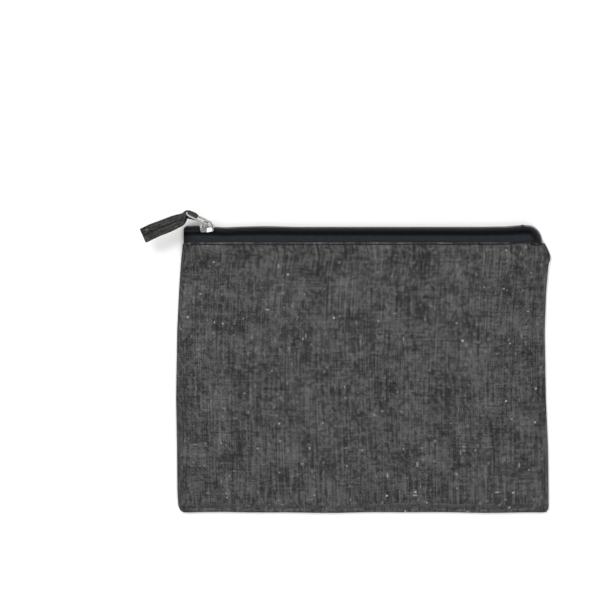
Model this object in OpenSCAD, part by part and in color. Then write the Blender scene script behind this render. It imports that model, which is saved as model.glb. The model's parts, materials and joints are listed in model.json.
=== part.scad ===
// Flat zippered cotton pouch, lying on its back panel with the zipper at the far edge.
// +X runs along the zipper, +Y from the bottom seam to the zipper, +Z up through the cloth.
// The origin is the middle of the face that rests on the table. Millimetres.

/* [Pouch body] */
// Width of the pouch across the bottom
body_w = 220; // [200:1:240]
// Height from the bottom seam to the top of the zipper
body_h = 170; // [150:1:190]
// Thickness of one layer of cloth
cloth_t = 0.7; // [0.5:0.1:0.9]
// Inner height of the pouch at its mouth
loft_h = 9.4; // [9.2:0.1:11]
// Width of the seam allowances inside
allowance_w = 7.5; // [6:0.5:10]

/* [Zipper] */
// Lean of the chain's face from +Y towards +Z, in degrees
chain_lean = 25; // [15:1:30]
// Distance between two turns of one coil
coil_pitch = 1.2; // [1:0.1:1.6]
// Half the width of the closed chain
coil_half_w = 2; // [1.8:0.1:2.2]
// Half the height of the coil
coil_half_h = 0.85; // [0.7:0.05:0.9]
// Thickness of the tape
tape_t = 0.45; // [0.3:0.05:0.5]
// Width of one tape, from the middle of the chain
tape_w = 14; // [12:0.5:16]

/* [Slider and pull] */
// Where the closed slider's middle is, along the zipper
slider_x = -92.5; // [-94:0.5:-90]
// Length of the slider's body
slider_l = 8.6; // [8:0.1:9]
// Distance between the two bars of the wire loop
loop_l = 13.6; // [11:0.1:15]
// Radius of the loop's wire
wire_r = 0.65; // [0.5:0.05:0.7]
// Swing of the wire loop from lying along the chain towards the closed end, in degrees
loop_swing = 28; // [15:0.5:40]
// Length of the cloth puller, from the loop's bar to its free end
puller_l = 29; // [24:1:34]
// Width of the cloth puller where it lies flat
puller_w = 10; // [8:0.5:12]

/* [Hidden] */

cloth_colour = "dimgray";
tape_colour = "#22262b";
thread_colour = "#3c3c3e";
nylon_colour = "#1b1d20";
metal_colour = "silver";
steel_colour = "darkgray";

fine = 0.01;
round_fn = 48;
bottom_y = -body_h / 2;
top_y = body_h / 2;
fold_y = top_y - 9.5;          // the cloth's folded edge beside the zipper
topstitch_y = fold_y - 1.1;    // the stitch line that holds the tape
seam_z = 1;                    // height where the two panels meet
thread_r = 0.2;
running_gap = 0.08;            // between a bar and the hole it turns in

// Half width of the pouch at a height y above its middle: the sides draw in towards the zipper.
// Each row is [y as a share of half the body's height, left edge, right edge], as shares of half its width.
side_rows = [
    [-1.00, -0.970, 0.999], [-0.985, -0.988, 1.004], [-0.96, -0.997, 1.007], [-0.85, -1.002, 1.007],
    [-0.56, -1.004, 1.004], [-0.2, -1.009, 0.992], [0.27, -1.003, 0.986], [0.55, -0.993, 0.994],
    [0.74, -0.983, 1.007], [0.785, -0.980, 1.020], [0.86, -0.974, 0.996], [0.888, -0.972, 0.979]
];
function left_x(y) = body_w / 2 * lookup(y / top_y, [for (r = side_rows) [r[0], r[1]]]);
function right_x(y) = body_w / 2 * lookup(y / top_y, [for (r = side_rows) [r[0], r[2]]]);
row_ys = [for (r = side_rows) r[0] * top_y];
row_n = len(side_rows);

// ---- cloth ----

// The rise of an elliptical shoulder: 0 at the edge and 1 once it is r in from it.
function shoulder(d, r) = d <= 0 ? 0 : d >= r ? 1 : sqrt(1 - pow(1 - d / r, 2));
// How far the front's side slope reaches in: wide over the body, steep beside the zipper.
function slope_w(y) = lookup(y, [[20, 28], [66, 1.3]]);
slope_h = 60;

// A point of the front panel's outer (inset 0) or inner surface. u and v are distances in from the
// edges: u from the left as a negative number or from the right as a positive one.
function panel_xy(u, y, inset) =
    u < 0 ? [left_x(y) - u + (u > -fine ? inset : 0), y]
          : [right_x(y) - u - (u < fine ? inset : 0), y];

side_steps = [0, 1, 2, 3.5, 6.5, 11, 17, 23, 28, 50, 80, 109];
panel_us = concat([for (s = side_steps) -max(s, fine / 2)], [for (i = [len(side_steps) - 2:-1:0]) side_steps[i]]);
panel_ys = concat([for (s = [0, 1, 2, 4, 8, 14, 22, 32, 44, 60, 80, 105, 125, 138]) bottom_y + s],
                  [fold_y - 9.5, fold_y - 4, fold_y]);

function panel_point(i, j, inner) =
    let (u = panel_us[i], inset = inner ? cloth_t : 0,
         y = panel_ys[j] + (j == 0 ? inset : 0),
         p = panel_xy(u, y, inset),
         d = min(p[0] - left_x(y), right_x(y) - p[0]) - inset,
         rise = shoulder(d, slope_w(y)) * shoulder(y - bottom_y - inset, slope_h))
    [p[0], y, seam_z + rise * (loft_h + (inner ? 0 : cloth_t))];

module front_panel() {
    cols = len(panel_us);
    rows = len(panel_ys);
    n = cols * rows;
    pts = concat([for (j = [0:rows - 1]) for (i = [0:cols - 1]) panel_point(i, j, false)],
                 [for (j = [0:rows - 1]) for (i = [0:cols - 1]) panel_point(i, j, true)]);
    quads = [for (j = [0:rows - 2]) for (i = [0:cols - 2])
        [j * cols + i, j * cols + i + 1, (j + 1) * cols + i + 1, (j + 1) * cols + i]];
    rim = concat([for (i = [0:cols - 1]) i],
                 [for (j = [1:rows - 1]) j * cols + cols - 1],
                 [for (i = [cols - 2:-1:0]) (rows - 1) * cols + i],
                 [for (j = [rows - 2:-1:1]) j * cols]);
    m = len(rim);
    color(cloth_colour)
        polyhedron(pts, concat(
            [for (q = quads) for (t = [[q[0], q[2], q[1]], [q[0], q[3], q[2]]]) t],
            [for (q = quads) for (t = [[q[0] + n, q[1] + n, q[2] + n], [q[0] + n, q[2] + n, q[3] + n]]) t],
            [for (k = [0:m - 1]) let (a = rim[k], b = rim[(k + 1) % m])
                for (t = [[a, b, b + n], [a, b + n, a + n]]) t]));
}

// The body's flat outline, drawn in from its edge by d.
function outline(d, low = bottom_y, high = fold_y) = concat(
    [for (y = row_ys) if (y >= low && y <= high) [left_x(y) + d, max(y, bottom_y + d)]],
    [for (k = [row_n - 1:-1:0]) if (row_ys[k] >= low && row_ys[k] <= high)
        [right_x(row_ys[k]) - d, max(row_ys[k], bottom_y + d)]]);

// A strip beside one seam, from d0 to d1 in from the edge.
module side_strip(left, d0, d1, low, high) {
    ys = concat([low], [for (y = row_ys) if (y > low && y < high) y], [high]);
    function at(y, d) = left ? left_x(y) + d : right_x(y) - d;
    n = len(ys);
    polygon(concat([for (y = ys) [at(y, d0), y]], [for (k = [n - 1:-1:0]) [at(ys[k], d1), ys[k]]]));
}

seam_in = 1.6;                      // where the allowances start, in from the edge
allowance_z = cloth_t;
allowance_t = 1.1;
strip_low = bottom_y + 12;
strip_high = fold_y - 8;
overlock_w = 0.6;
bottom_strip_x = left_x(bottom_y + 3) + 14;
bottom_strip_w = right_x(bottom_y + 3) - 14 - bottom_strip_x;

module allowance_layer() {
    side_strip(true, seam_in, seam_in + allowance_w, strip_low, strip_high);
    side_strip(false, seam_in, seam_in + allowance_w, strip_low, strip_high);
    translate([bottom_strip_x, bottom_y + seam_in])
        square([bottom_strip_w, allowance_w]);
}

module back_panel() {
    color(cloth_colour)
        difference() {
            union() {
                linear_extrude(cloth_t) polygon(outline(0));
                translate([0, 0, allowance_z]) linear_extrude(allowance_t) allowance_layer();
            }
            translate([left_x(topstitch_y) - 1, topstitch_y - 0.3, -1])
                cube([body_w, 0.6, 1.45]);
        }
}

module side_overlock(left) {
    color(thread_colour)
        translate([0, 0, cloth_t])
            linear_extrude(allowance_t + 0.1)
                side_strip(left, seam_in + allowance_w, seam_in + allowance_w + overlock_w,
                           strip_low, strip_high);
}
module left_overlock() { side_overlock(true); }
module right_overlock() { side_overlock(false); }

module bottom_overlock() {
    color(thread_colour)
        translate([bottom_strip_x, bottom_y + seam_in + allowance_w, cloth_t])
            cube([bottom_strip_w, overlock_w, allowance_t + 0.1]);
}

// The lockstitch row of a side seam, on the allowances.
module side_thread(left) {
    color(thread_colour)
        translate([0, 0, cloth_t + allowance_t])
            linear_extrude(0.3)
                side_strip(left, seam_in + 1.3, seam_in + 1.7, strip_low, strip_high);
}
module left_seam_thread() { side_thread(true); }
module right_seam_thread() { side_thread(false); }

module bottom_seam_thread() {
    color(thread_colour)
        translate([bottom_strip_x, bottom_y + seam_in + 2.6, cloth_t + allowance_t])
            cube([bottom_strip_w, 0.4, 0.2]);
}

topstitch_x0 = left_x(fold_y) + 2.2;
topstitch_x1 = right_x(fold_y) - 5;

module topstitch(z) {
    color(thread_colour)
        translate([topstitch_x0, topstitch_y, z])
            rotate([0, 90, 0])
                cylinder(r = thread_r, h = topstitch_x1 - topstitch_x0, $fn = round_fn);
}
module back_topstitch() { topstitch(thread_r); }
module front_topstitch() { topstitch(seam_z + loft_h + cloth_t + thread_r); }

// A dense knot of thread on the front, where the topstitching ends at the open end.
module mouth_bartack() {
    color(thread_colour)
        translate([topstitch_x1 + 0.3, topstitch_y - 0.8, seam_z + loft_h + cloth_t])
            linear_extrude(0.4)
                for (k = [0:3])
                    translate([k * 0.8, 0]) square([0.7, 2]);
}

// ---- zipper ----

// The chain's own frame: X along it, Y out of its face, Z towards the front.
chain_y = top_y - coil_half_h * cos(chain_lean) - coil_half_w * sin(chain_lean) + 0.01;
chain_z = 6.55;
module chain_frame() {
    translate([0, chain_y, chain_z]) rotate([chain_lean, 0, 0]) children();
}

chain_x0 = -104.5;
chain_x1 = 105;
tape_x0 = -104.2;     // the tapes end inside the side slopes of the front
tape_x1 = 104.5;
tape_gap = 0.9;       // half the gap between the two tapes' edges, under the chain
tape_run = 3.7;       // where each tape turns down from the chain
tape_bend = 1.2;      // radius of that turn, at the tape's middle
tape_n = -coil_half_h - tape_t / 2;

// The diamond spreads the two coils at the slider's leading end.
spread_w = 1;
function ease(t) = t <= 0 ? 0 : t >= 1 ? 1 : t * t * (3 - 2 * t);
function spread(x) = spread_w * (1 - ease((x - slider_x + 1.4) / 2.8));
path_xs = concat([chain_x0], [for (k = [0:8]) slider_x - 1.4 + k * 0.35], [chain_x1]);

// A band beside the chain's middle line, from c0 to c1, that follows the spread of the coils.
module spread_band(side, c0, c1, x0 = chain_x0, x1 = chain_x1) {
    xs = concat([x0], [for (x = path_xs) if (x > x0 && x < x1) x], [x1]);
    n = len(xs);
    polygon(concat([for (x = xs) [x, side * (c0 + spread(x))]],
                   [for (k = [n - 1:-1:0]) [xs[k], side * (c1 + spread(xs[k]))]]));
}

tooth_w = 0.5;
tooth_tip = -0.45;
tooth_root = 0.9;

// The comb outline of one coil: a spine with a tooth at each turn, reaching past the middle line.
module comb(side) {
    first = chain_x0 + (side > 0 ? 0.4 : 0.4 + coil_pitch / 2);
    count = floor((chain_x1 - 0.4 - tooth_w - first) / coil_pitch);
    teeth = [for (k = [0:count]) let (x = first + k * coil_pitch, s = spread(x + tooth_w / 2))
        each [[x, side * (tooth_root + spread(x))], [x, side * (tooth_tip + s)],
              [x + tooth_w, side * (tooth_tip + s)], [x + tooth_w, side * (tooth_root + spread(x + tooth_w))]]];
    n = len(path_xs);
    polygon(concat([[chain_x0, side * (tooth_root + spread(chain_x0))]], teeth,
                   [[chain_x1, side * tooth_root]],
                   [for (k = [n - 1:-1:0]) [path_xs[k], side * (coil_half_w + spread(path_xs[k]))]]));
}

cord_in = 1.15;
cord_out = 1.75;
cord_half_h = 0.3;

// Lays a flat shape drawn as [along the chain, towards the front] down at height n off the chain's middle.
module on_chain(n0, n1) {
    translate([0, n1, 0]) rotate([90, 0, 0]) linear_extrude(n1 - n0) children();
}

module coil(side) {
    color(nylon_colour)
        chain_frame()
            difference() {
                on_chain(-coil_half_h, coil_half_h) mirrored() comb(side);
                on_chain(-cord_half_h, cord_half_h) mirrored()
                    spread_band(side, cord_in, cord_out, chain_x0 - 1, chain_x1 + 1);
            }
}
// on_chain turns a drawing's second axis to -Z, so drawings are flipped to count towards the front.
module mirrored() { mirror([0, 1]) children(); }
module back_coil() { coil(-1); }
module front_coil() { coil(1); }

module filler_cord(side) {
    color(thread_colour)
        chain_frame()
            on_chain(-cord_half_h + 0.05, cord_half_h - 0.05) mirrored()
                spread_band(side, cord_in + 0.05, cord_out - 0.05);
}
module back_filler_cord() { filler_cord(-1); }
module front_filler_cord() { filler_cord(1); }

// One tape's cross-section as [y, z]: a straight run under the coil, a bend, and a flat leg.
function chain_point(n, c) = [
    chain_y + n * cos(chain_lean) - c * sin(chain_lean),
    chain_z + n * sin(chain_lean) + c * cos(chain_lean)];
bend_steps = 10;
module tape(side, leg) {
    turn = side > 0 ? 90 - chain_lean : 90 + chain_lean;      // angle of the bend
    start = chain_point(tape_n, side * tape_run);
    heading = side > 0 ? 90 + chain_lean : chain_lean - 90;   // of the run, from +Y towards +Z
    spin = side > 0 ? 1 : -1;
    centre = start + tape_bend * [cos(heading + spin * 90), sin(heading + spin * 90)];
    function arc(r) = [for (k = [0:bend_steps])
        let (a = heading - spin * 90 + spin * turn * k / bend_steps) centre + r * [cos(a), sin(a)]];
    outer = arc(tape_bend + tape_t / 2);
    inner = arc(tape_bend - tape_t / 2);
    pts = concat([chain_point(tape_n + tape_t / 2, side * tape_gap)], outer,
                 [outer[bend_steps] - [leg, 0], inner[bend_steps] - [leg, 0]],
                 [for (k = [bend_steps:-1:0]) inner[k]],
                 [chain_point(tape_n - tape_t / 2, side * tape_gap)]);
    color(tape_colour)
        translate([tape_x0, 0, 0])
            rotate([90, 0, 90])
                linear_extrude(tape_x1 - tape_x0) polygon(pts);
}
function leg_length(turn) = tape_w - tape_run - tape_bend * turn * PI / 180;
module back_tape() { tape(-1, leg_length(90 + chain_lean)); }
module front_tape() { tape(1, leg_length(90 - chain_lean)); }

// A thread bar sewn across the chain, which stops the slider.
module end_tack(x, half_w) {
    color(thread_colour)
        chain_frame()
            translate([x, coil_half_h, -half_w])
                for (k = [0:2])
                    translate([k * 0.55, 0, 0]) cube([0.5, 0.35, 2 * half_w]);
}
module closed_end_tack() { end_tack(-100.4, 3.1); }
module open_end_tack() { end_tack(94.4, 2.4); }

// ---- slider ----

shoulder_w = 3.6;    // half width of the slider's leading end
tail_w = 2.7;        // half width of its trailing end
flange_t = 0.45;
plate_n0 = 1.1;      // underside of the top plate, over the coils
plate_n1 = 1.95;
base_n0 = -2.4;      // the bottom plate, inside the pouch
base_n1 = -1.6;
flange_n = -0.5;

function slider_half_w(x) = shoulder_w - (shoulder_w - tail_w) * ease((x + 0.4) / 3.4);
function end_round(x) = let (d = (abs(x) - slider_l / 2 + 1) / 1) d <= 0 ? 1 : 0.55 + 0.45 * sqrt(max(0, 1 - d * d));
slider_steps = 24;
slider_xs = [for (k = [0:slider_steps]) slider_l * (k / slider_steps - 0.5)];

module slider_outline(inset = 0, rounded = true) {
    function w(x) = (slider_half_w(x) - inset) * (rounded ? end_round(x) : 1);
    reach = rounded ? 0 : 1;
    xs = concat([slider_xs[0] - reach], [for (k = [1:slider_steps - 1]) slider_xs[k]],
                [slider_xs[slider_steps] + reach]);
    polygon(concat([for (x = xs) [x, w(x)]], [for (k = [slider_steps:-1:0]) [xs[k], -w(xs[k])]]));
}

diamond_x0 = -3.9;
diamond_x1 = -1.4;
diamond_w = 0.45;
module diamond_outline() {
    steps = 12;
    mid = (diamond_x0 + diamond_x1) / 2;
    half = (diamond_x1 - diamond_x0) / 2;
    function w(t) = diamond_w * sqrt(max(0.04, 1 - t * t));
    ts = [for (k = [0:steps]) 2 * k / steps - 1];
    polygon(concat([for (t = ts) [mid + half * t, w(t)]],
                   [for (k = [steps:-1:0]) [mid + half * ts[k], -w(ts[k])]]));
}

pawl_x0 = 1.4;
pawl_x1 = 1.9;

module at_slider() { chain_frame() translate([slider_x, 0, 0]) children(); }

module slider_body() {
    color(metal_colour)
        at_slider() {
            difference() {
                union() {
                    on_chain(plate_n0, plate_n1) slider_outline();
                    difference() {
                        on_chain(flange_n, plate_n0) slider_outline();
                        on_chain(flange_n - 1, plate_n0 + 1) slider_outline(flange_t, false);
                    }
                }
                translate([pawl_x0 - 0.2, plate_n0 - 1, -0.6]) cube([pawl_x1 - pawl_x0 + 0.4, 3, 1.2]);
            }
            on_chain(base_n0, base_n1) slider_outline(0.15);
            on_chain(base_n1, plate_n0) diamond_outline();
        }
}

crown_x = 0.2;       // the crown's middle, in the slider's frame
crown_l = 3.2;       // half the crown's length
crown_h = 3.6;
crown_t = 0.7;
crown_half_w = 0.9;
loop_bar_n = 4.0;    // height of the loop's inner bar over the chain's middle

module slider_crown() {
    steps = 24;
    function arch(a, b) = [for (k = [0:steps]) let (t = 180 * k / steps) [a * cos(t), plate_n1 + b * sin(t)]];
    outer = arch(crown_l, crown_h);
    inner = arch(crown_l - crown_t, crown_h - crown_t);
    color(metal_colour)
        at_slider()
            translate([crown_x, 0, -crown_half_w])
                linear_extrude(2 * crown_half_w)
                    polygon(concat(outer, [for (k = [steps:-1:0]) inner[k]]));
}

module slider_lock_spring() {
    leaf_t = 0.2;
    color(steel_colour)
        at_slider()
            translate([0, 0, -0.45])
                linear_extrude(0.9)
                    polygon([[-2.2, plate_n1], [pawl_x0, plate_n1], [pawl_x0, coil_half_h + 0.15],
                             [pawl_x1, coil_half_h + 0.15], [pawl_x1, plate_n1 + leaf_t],
                             [-2.2, plate_n1 + leaf_t]]);
}

// ---- wire loop ----

loop_half_w = 3.0;   // from the loop's middle to the middle of a side wire
loop_corner = 1;
loop_angle = 180 - loop_swing;

// The loop's frame: its inner bar on Z, and its far bar loop_l along X.
module loop_frame() {
    at_slider() translate([crown_x, loop_bar_n, 0]) rotate([0, 0, loop_angle]) children();
}

module wire(l) { cylinder(r = wire_r, h = l, $fn = round_fn); }
module wire_corner() {
    rotate_extrude(angle = 90, $fn = 96)
        translate([loop_corner, 0]) circle(r = wire_r, $fn = round_fn);
}

module pull_loop() {
    bar = loop_half_w - loop_corner;
    color(metal_colour)
        loop_frame() {
            for (x = [0, loop_l]) translate([x, 0, -bar]) wire(2 * bar);
            for (s = [-1, 1])
                translate([loop_corner, 0, s * loop_half_w]) rotate([0, 90, 0]) wire(loop_l - 2 * loop_corner);
            translate([loop_l - loop_corner, 0, bar]) rotate([90, 0, 0]) wire_corner();
            translate([loop_corner, 0, bar]) rotate([90, -90, 0]) wire_corner();
            translate([loop_corner, 0, -bar]) rotate([90, 180, 0]) wire_corner();
            translate([loop_l - loop_corner, 0, -bar]) rotate([90, 90, 0]) wire_corner();
        }
}

// ---- cloth puller ----

sleeve_w = 4.0;
sleeve_r = 1.5;
puller_t = 1.5;
puller_drop = 25;    // angle of the puller below -X, seen from above

// The far bar's middle, in the part's own frame.
far_x = slider_x + crown_x + loop_l * cos(loop_angle);
far_n = loop_bar_n + loop_l * sin(loop_angle);
far_bar = [far_x, each chain_point(far_n, 0)];
puller_z = 12.5;     // height of the puller's middle where it lies level

puller_dir = [-cos(puller_drop), -sin(puller_drop)];
function puller_mid(t) = [
    far_bar[0] + puller_dir[0] * puller_l * t,
    far_bar[1] + puller_dir[1] * puller_l * t,
    far_bar[2] + (puller_z - far_bar[2]) * ease(t / 0.5)];
// The strip leaves the bar on edge and turns level: its tilt is the angle between its width and the table.
function puller_tilt(t) = (90 - chain_lean) * (1 - ease((t - 0.02) / 0.55));
function puller_half_w(t) = sleeve_w / 2 + (puller_w - sleeve_w) / 2 * ease(t / 0.45);
function puller_across(t) = let (a = puller_tilt(t))
    [puller_dir[1] * cos(a), -puller_dir[0] * cos(a), -sin(a)];
function puller_normal(t) = cross(puller_across(t), [puller_dir[0], puller_dir[1], 0]);

// A strip that follows the puller: half width hw, from height h0 to h1 off its middle surface.
module puller_sweep(ts, h0, h1, narrow = 0) {
    n = len(ts);
    pts = [for (t = ts) let (m = puller_mid(t), w = puller_across(t),
                             hw = narrow > 0 ? narrow : puller_half_w(t), k = puller_normal(t))
        each [m - hw * w + h0 * k, m + hw * w + h0 * k, m + hw * w + h1 * k, m - hw * w + h1 * k]];
    sides = [for (i = [0:n - 2]) for (s = [0:3]) let (a = 4 * i + s, b = 4 * i + (s + 1) % 4)
        each [[a, b, b + 4], [a, b + 4, a + 4]]];
    last = 4 * (n - 1);
    polyhedron(pts, concat([[0, 3, 2], [0, 2, 1]], sides,
                           [[last, last + 1, last + 2], [last, last + 2, last + 3]]));
}

module puller_strip() {
    color(cloth_colour) {
        loop_frame()
            translate([loop_l, 0, -sleeve_w / 2])
                difference() {
                    cylinder(r = sleeve_r, h = sleeve_w, $fn = round_fn);
                    translate([0, 0, -1]) cylinder(r = wire_r + running_gap, h = sleeve_w + 2, $fn = round_fn);
                }
        puller_sweep([for (k = [0:12]) 0.037 + 0.963 * k / 12], -puller_t / 2, puller_t / 2);
    }
}

module puller_stitching() {
    color(thread_colour)
        puller_sweep([for (k = [0:9]) 0.12 + 0.8 * k / 9], puller_t / 2, puller_t / 2 + 0.25, 0.2);
}

back_panel();
front_panel();
left_overlock();
right_overlock();
bottom_overlock();
left_seam_thread();
right_seam_thread();
bottom_seam_thread();
back_topstitch();
front_topstitch();
mouth_bartack();
back_tape();
front_tape();
back_coil();
front_coil();
back_filler_cord();
front_filler_cord();
closed_end_tack();
open_end_tack();
slider_body();
slider_crown();
slider_lock_spring();
pull_loop();
puller_strip();
puller_stitching();
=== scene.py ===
"""A flat cotton pouch with an exposed coil zipper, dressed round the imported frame.

Lengths are in metres in the frame's own axes: +X along the zipper, +Y from the bottom seam to the zipper,
+Z up through the cloth as the pouch lies on its back panel.
"""
import json
import logging
import math
from dataclasses import dataclass, field
from enum import Enum
from typing import Any, Iterable, Sequence, Union

import bpy
import numpy as np
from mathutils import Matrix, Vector, noise


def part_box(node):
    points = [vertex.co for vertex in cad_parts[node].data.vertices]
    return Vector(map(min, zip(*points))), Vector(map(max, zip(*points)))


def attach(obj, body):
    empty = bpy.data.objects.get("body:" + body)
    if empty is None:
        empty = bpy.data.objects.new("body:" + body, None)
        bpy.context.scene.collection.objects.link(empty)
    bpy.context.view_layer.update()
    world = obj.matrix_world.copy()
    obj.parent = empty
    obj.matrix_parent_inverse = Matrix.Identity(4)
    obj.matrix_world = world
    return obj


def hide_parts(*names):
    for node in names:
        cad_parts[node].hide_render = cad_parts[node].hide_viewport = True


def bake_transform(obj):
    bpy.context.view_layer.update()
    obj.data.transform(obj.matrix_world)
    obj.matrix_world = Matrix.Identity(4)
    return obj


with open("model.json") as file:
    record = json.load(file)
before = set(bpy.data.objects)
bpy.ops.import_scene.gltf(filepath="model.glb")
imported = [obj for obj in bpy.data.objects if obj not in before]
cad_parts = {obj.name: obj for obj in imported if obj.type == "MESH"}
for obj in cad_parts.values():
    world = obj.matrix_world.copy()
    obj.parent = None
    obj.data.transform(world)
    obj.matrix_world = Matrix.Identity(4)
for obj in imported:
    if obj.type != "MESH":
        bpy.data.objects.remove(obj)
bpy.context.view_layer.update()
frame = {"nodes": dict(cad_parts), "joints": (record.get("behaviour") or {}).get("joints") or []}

LOG = logging.getLogger("pouch")
MM = 0.001
CUT_MAP = "cut"          # the UV map that holds each piece's flat cloth, in metres

Array = np.ndarray
Faces = list[tuple[int, ...]]
Colour = tuple[float, float, float, float]
Profile = Sequence[tuple[float, float]]      # the rings of a rolled edge, as outwards and up
Settings = dict[str, Any]
Key = Union[str, int]                        # a socket's name or place
Sockets = dict[Key, Any]


class Body(Enum):
    """The frame's bodies that pieces ride on."""

    POUCH = "pouch"
    FLAP = "front_flap"
    SLIDER = "slider"
    LOOP = "pull_loop"
    PULLER = "puller"


class Side(Enum):
    """The side of the chain that a tape or coil is on."""

    BACK = -1
    FRONT = 1


# ---------------------------------------------------------------- numbers


def ease(value: Union[float, Array]) -> Array:
    """The smooth step from 0 to 1 of a value, held outside that span."""
    t = np.clip(value, 0.0, 1.0)
    return t * t * (3 - 2 * t)


def bump(x: Array, centre: float, reach: float) -> Array:
    """A smooth hump of height 1 about centre that fades to 0 at reach."""
    return ease(1 - np.abs(np.asarray(x) - centre) / reach)


def swell(x: Array, length: float, phase: float = 0.0) -> Array:
    """A wave between -1 and 1 along x; a full wave is 2 pi lengths."""
    return np.sin(x / length + phase)


def unit(vectors: Array) -> Array:
    """Vectors along the last axis, brought to a length of 1."""
    return vectors / (np.linalg.norm(vectors, axis=-1, keepdims=True) + 1e-12)


def along(line: Array, run: Array, at: Array) -> Array:
    """A line's points, or its normals, at distances along it; run is each point's own distance."""
    return np.stack([np.interp(at, run, line[:, k]) for k in range(3)], 1)


def in_mm(*pairs: tuple[float, float]) -> Profile:
    """Pairs of millimetres as pairs of metres."""
    return [(a * MM, b * MM) for a, b in pairs]


def arc_lengths(points: Array, axis: int) -> Array:
    """Distance travelled along an axis of a grid of points.

    Args:
        points: an array whose last axis is the coordinates.
        axis: the grid axis to travel along.

    Returns:
        The distances, zero at the first point.
    """
    steps = np.linalg.norm(np.diff(points, axis=axis), axis=-1)
    pad = [(0, 0)] * steps.ndim
    pad[axis] = (1, 0)
    return np.pad(np.cumsum(steps, axis=axis), pad)


def through(stations: Sequence[Sequence[float]], count: int) -> Array:
    """A smooth curve through stations in any number of dimensions (Catmull-Rom).

    Args:
        stations: the values it passes through, evenly spaced in its parameter.
        count: how many points to return.

    Returns:
        An array of count rows.
    """
    p = np.asarray(stations, float)
    p = np.vstack([2 * p[0] - p[1], p, 2 * p[-1] - p[-2]])
    t = np.linspace(0, len(stations) - 1, count)
    k = np.minimum(t.astype(int), len(stations) - 2)
    f = (t - k)[:, None]
    a, b, c, d = p[k], p[k + 1], p[k + 2], p[k + 3]
    return 0.5 * (2 * b + (c - a) * f + (2 * a - 5 * b + 4 * c - d) * f**2 + (3 * b - a - 3 * c + d) * f**3)


# ---------------------------------------------------------------- shading


class Signal:
    """A shader value on a bench; arithmetic on it adds Math nodes."""

    def __init__(self, bench: "Bench", socket: bpy.types.NodeSocket) -> None:
        """Holds an output socket and the bench that it stands on."""
        self.bench = bench
        self.socket = socket

    def _with(self, operation: str, *others: Any) -> "Signal":
        """This value and others through one Math node."""
        return self.bench.maths(operation, self, *others)

    def __add__(self, other: Any) -> "Signal":
        """The sum."""
        return self._with("ADD", other)

    __radd__ = __add__

    def __mul__(self, other: Any) -> "Signal":
        """The product."""
        return self._with("MULTIPLY", other)

    __rmul__ = __mul__

    def __sub__(self, other: Any) -> "Signal":
        """The difference."""
        return self._with("SUBTRACT", other)

    def __rsub__(self, other: Any) -> "Signal":
        """The difference, from the other side."""
        return self.bench.maths("SUBTRACT", other, self)

    def __truediv__(self, other: Any) -> "Signal":
        """The quotient."""
        return self._with("DIVIDE", other)

    def __gt__(self, other: Any) -> "Signal":
        """1 where this is the greater, and 0 elsewhere."""
        return self._with("GREATER_THAN", other)

    def floor(self) -> "Signal":
        """The whole number below."""
        return self._with("FLOOR")

    def cosine(self) -> "Signal":
        """The cosine, of radians."""
        return self._with("COSINE")

    def step(self, low: float, high: float) -> "Signal":
        """The smooth step between two values.

        Args:
            low: where it is 0.
            high: where it is 1.

        Returns:
            The step.
        """
        settings = {"interpolation_type": "SMOOTHSTEP"}
        values = {"Value": self, "From Min": low, "From Max": high}
        return self.bench.signal("ShaderNodeMapRange", settings, values)


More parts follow.
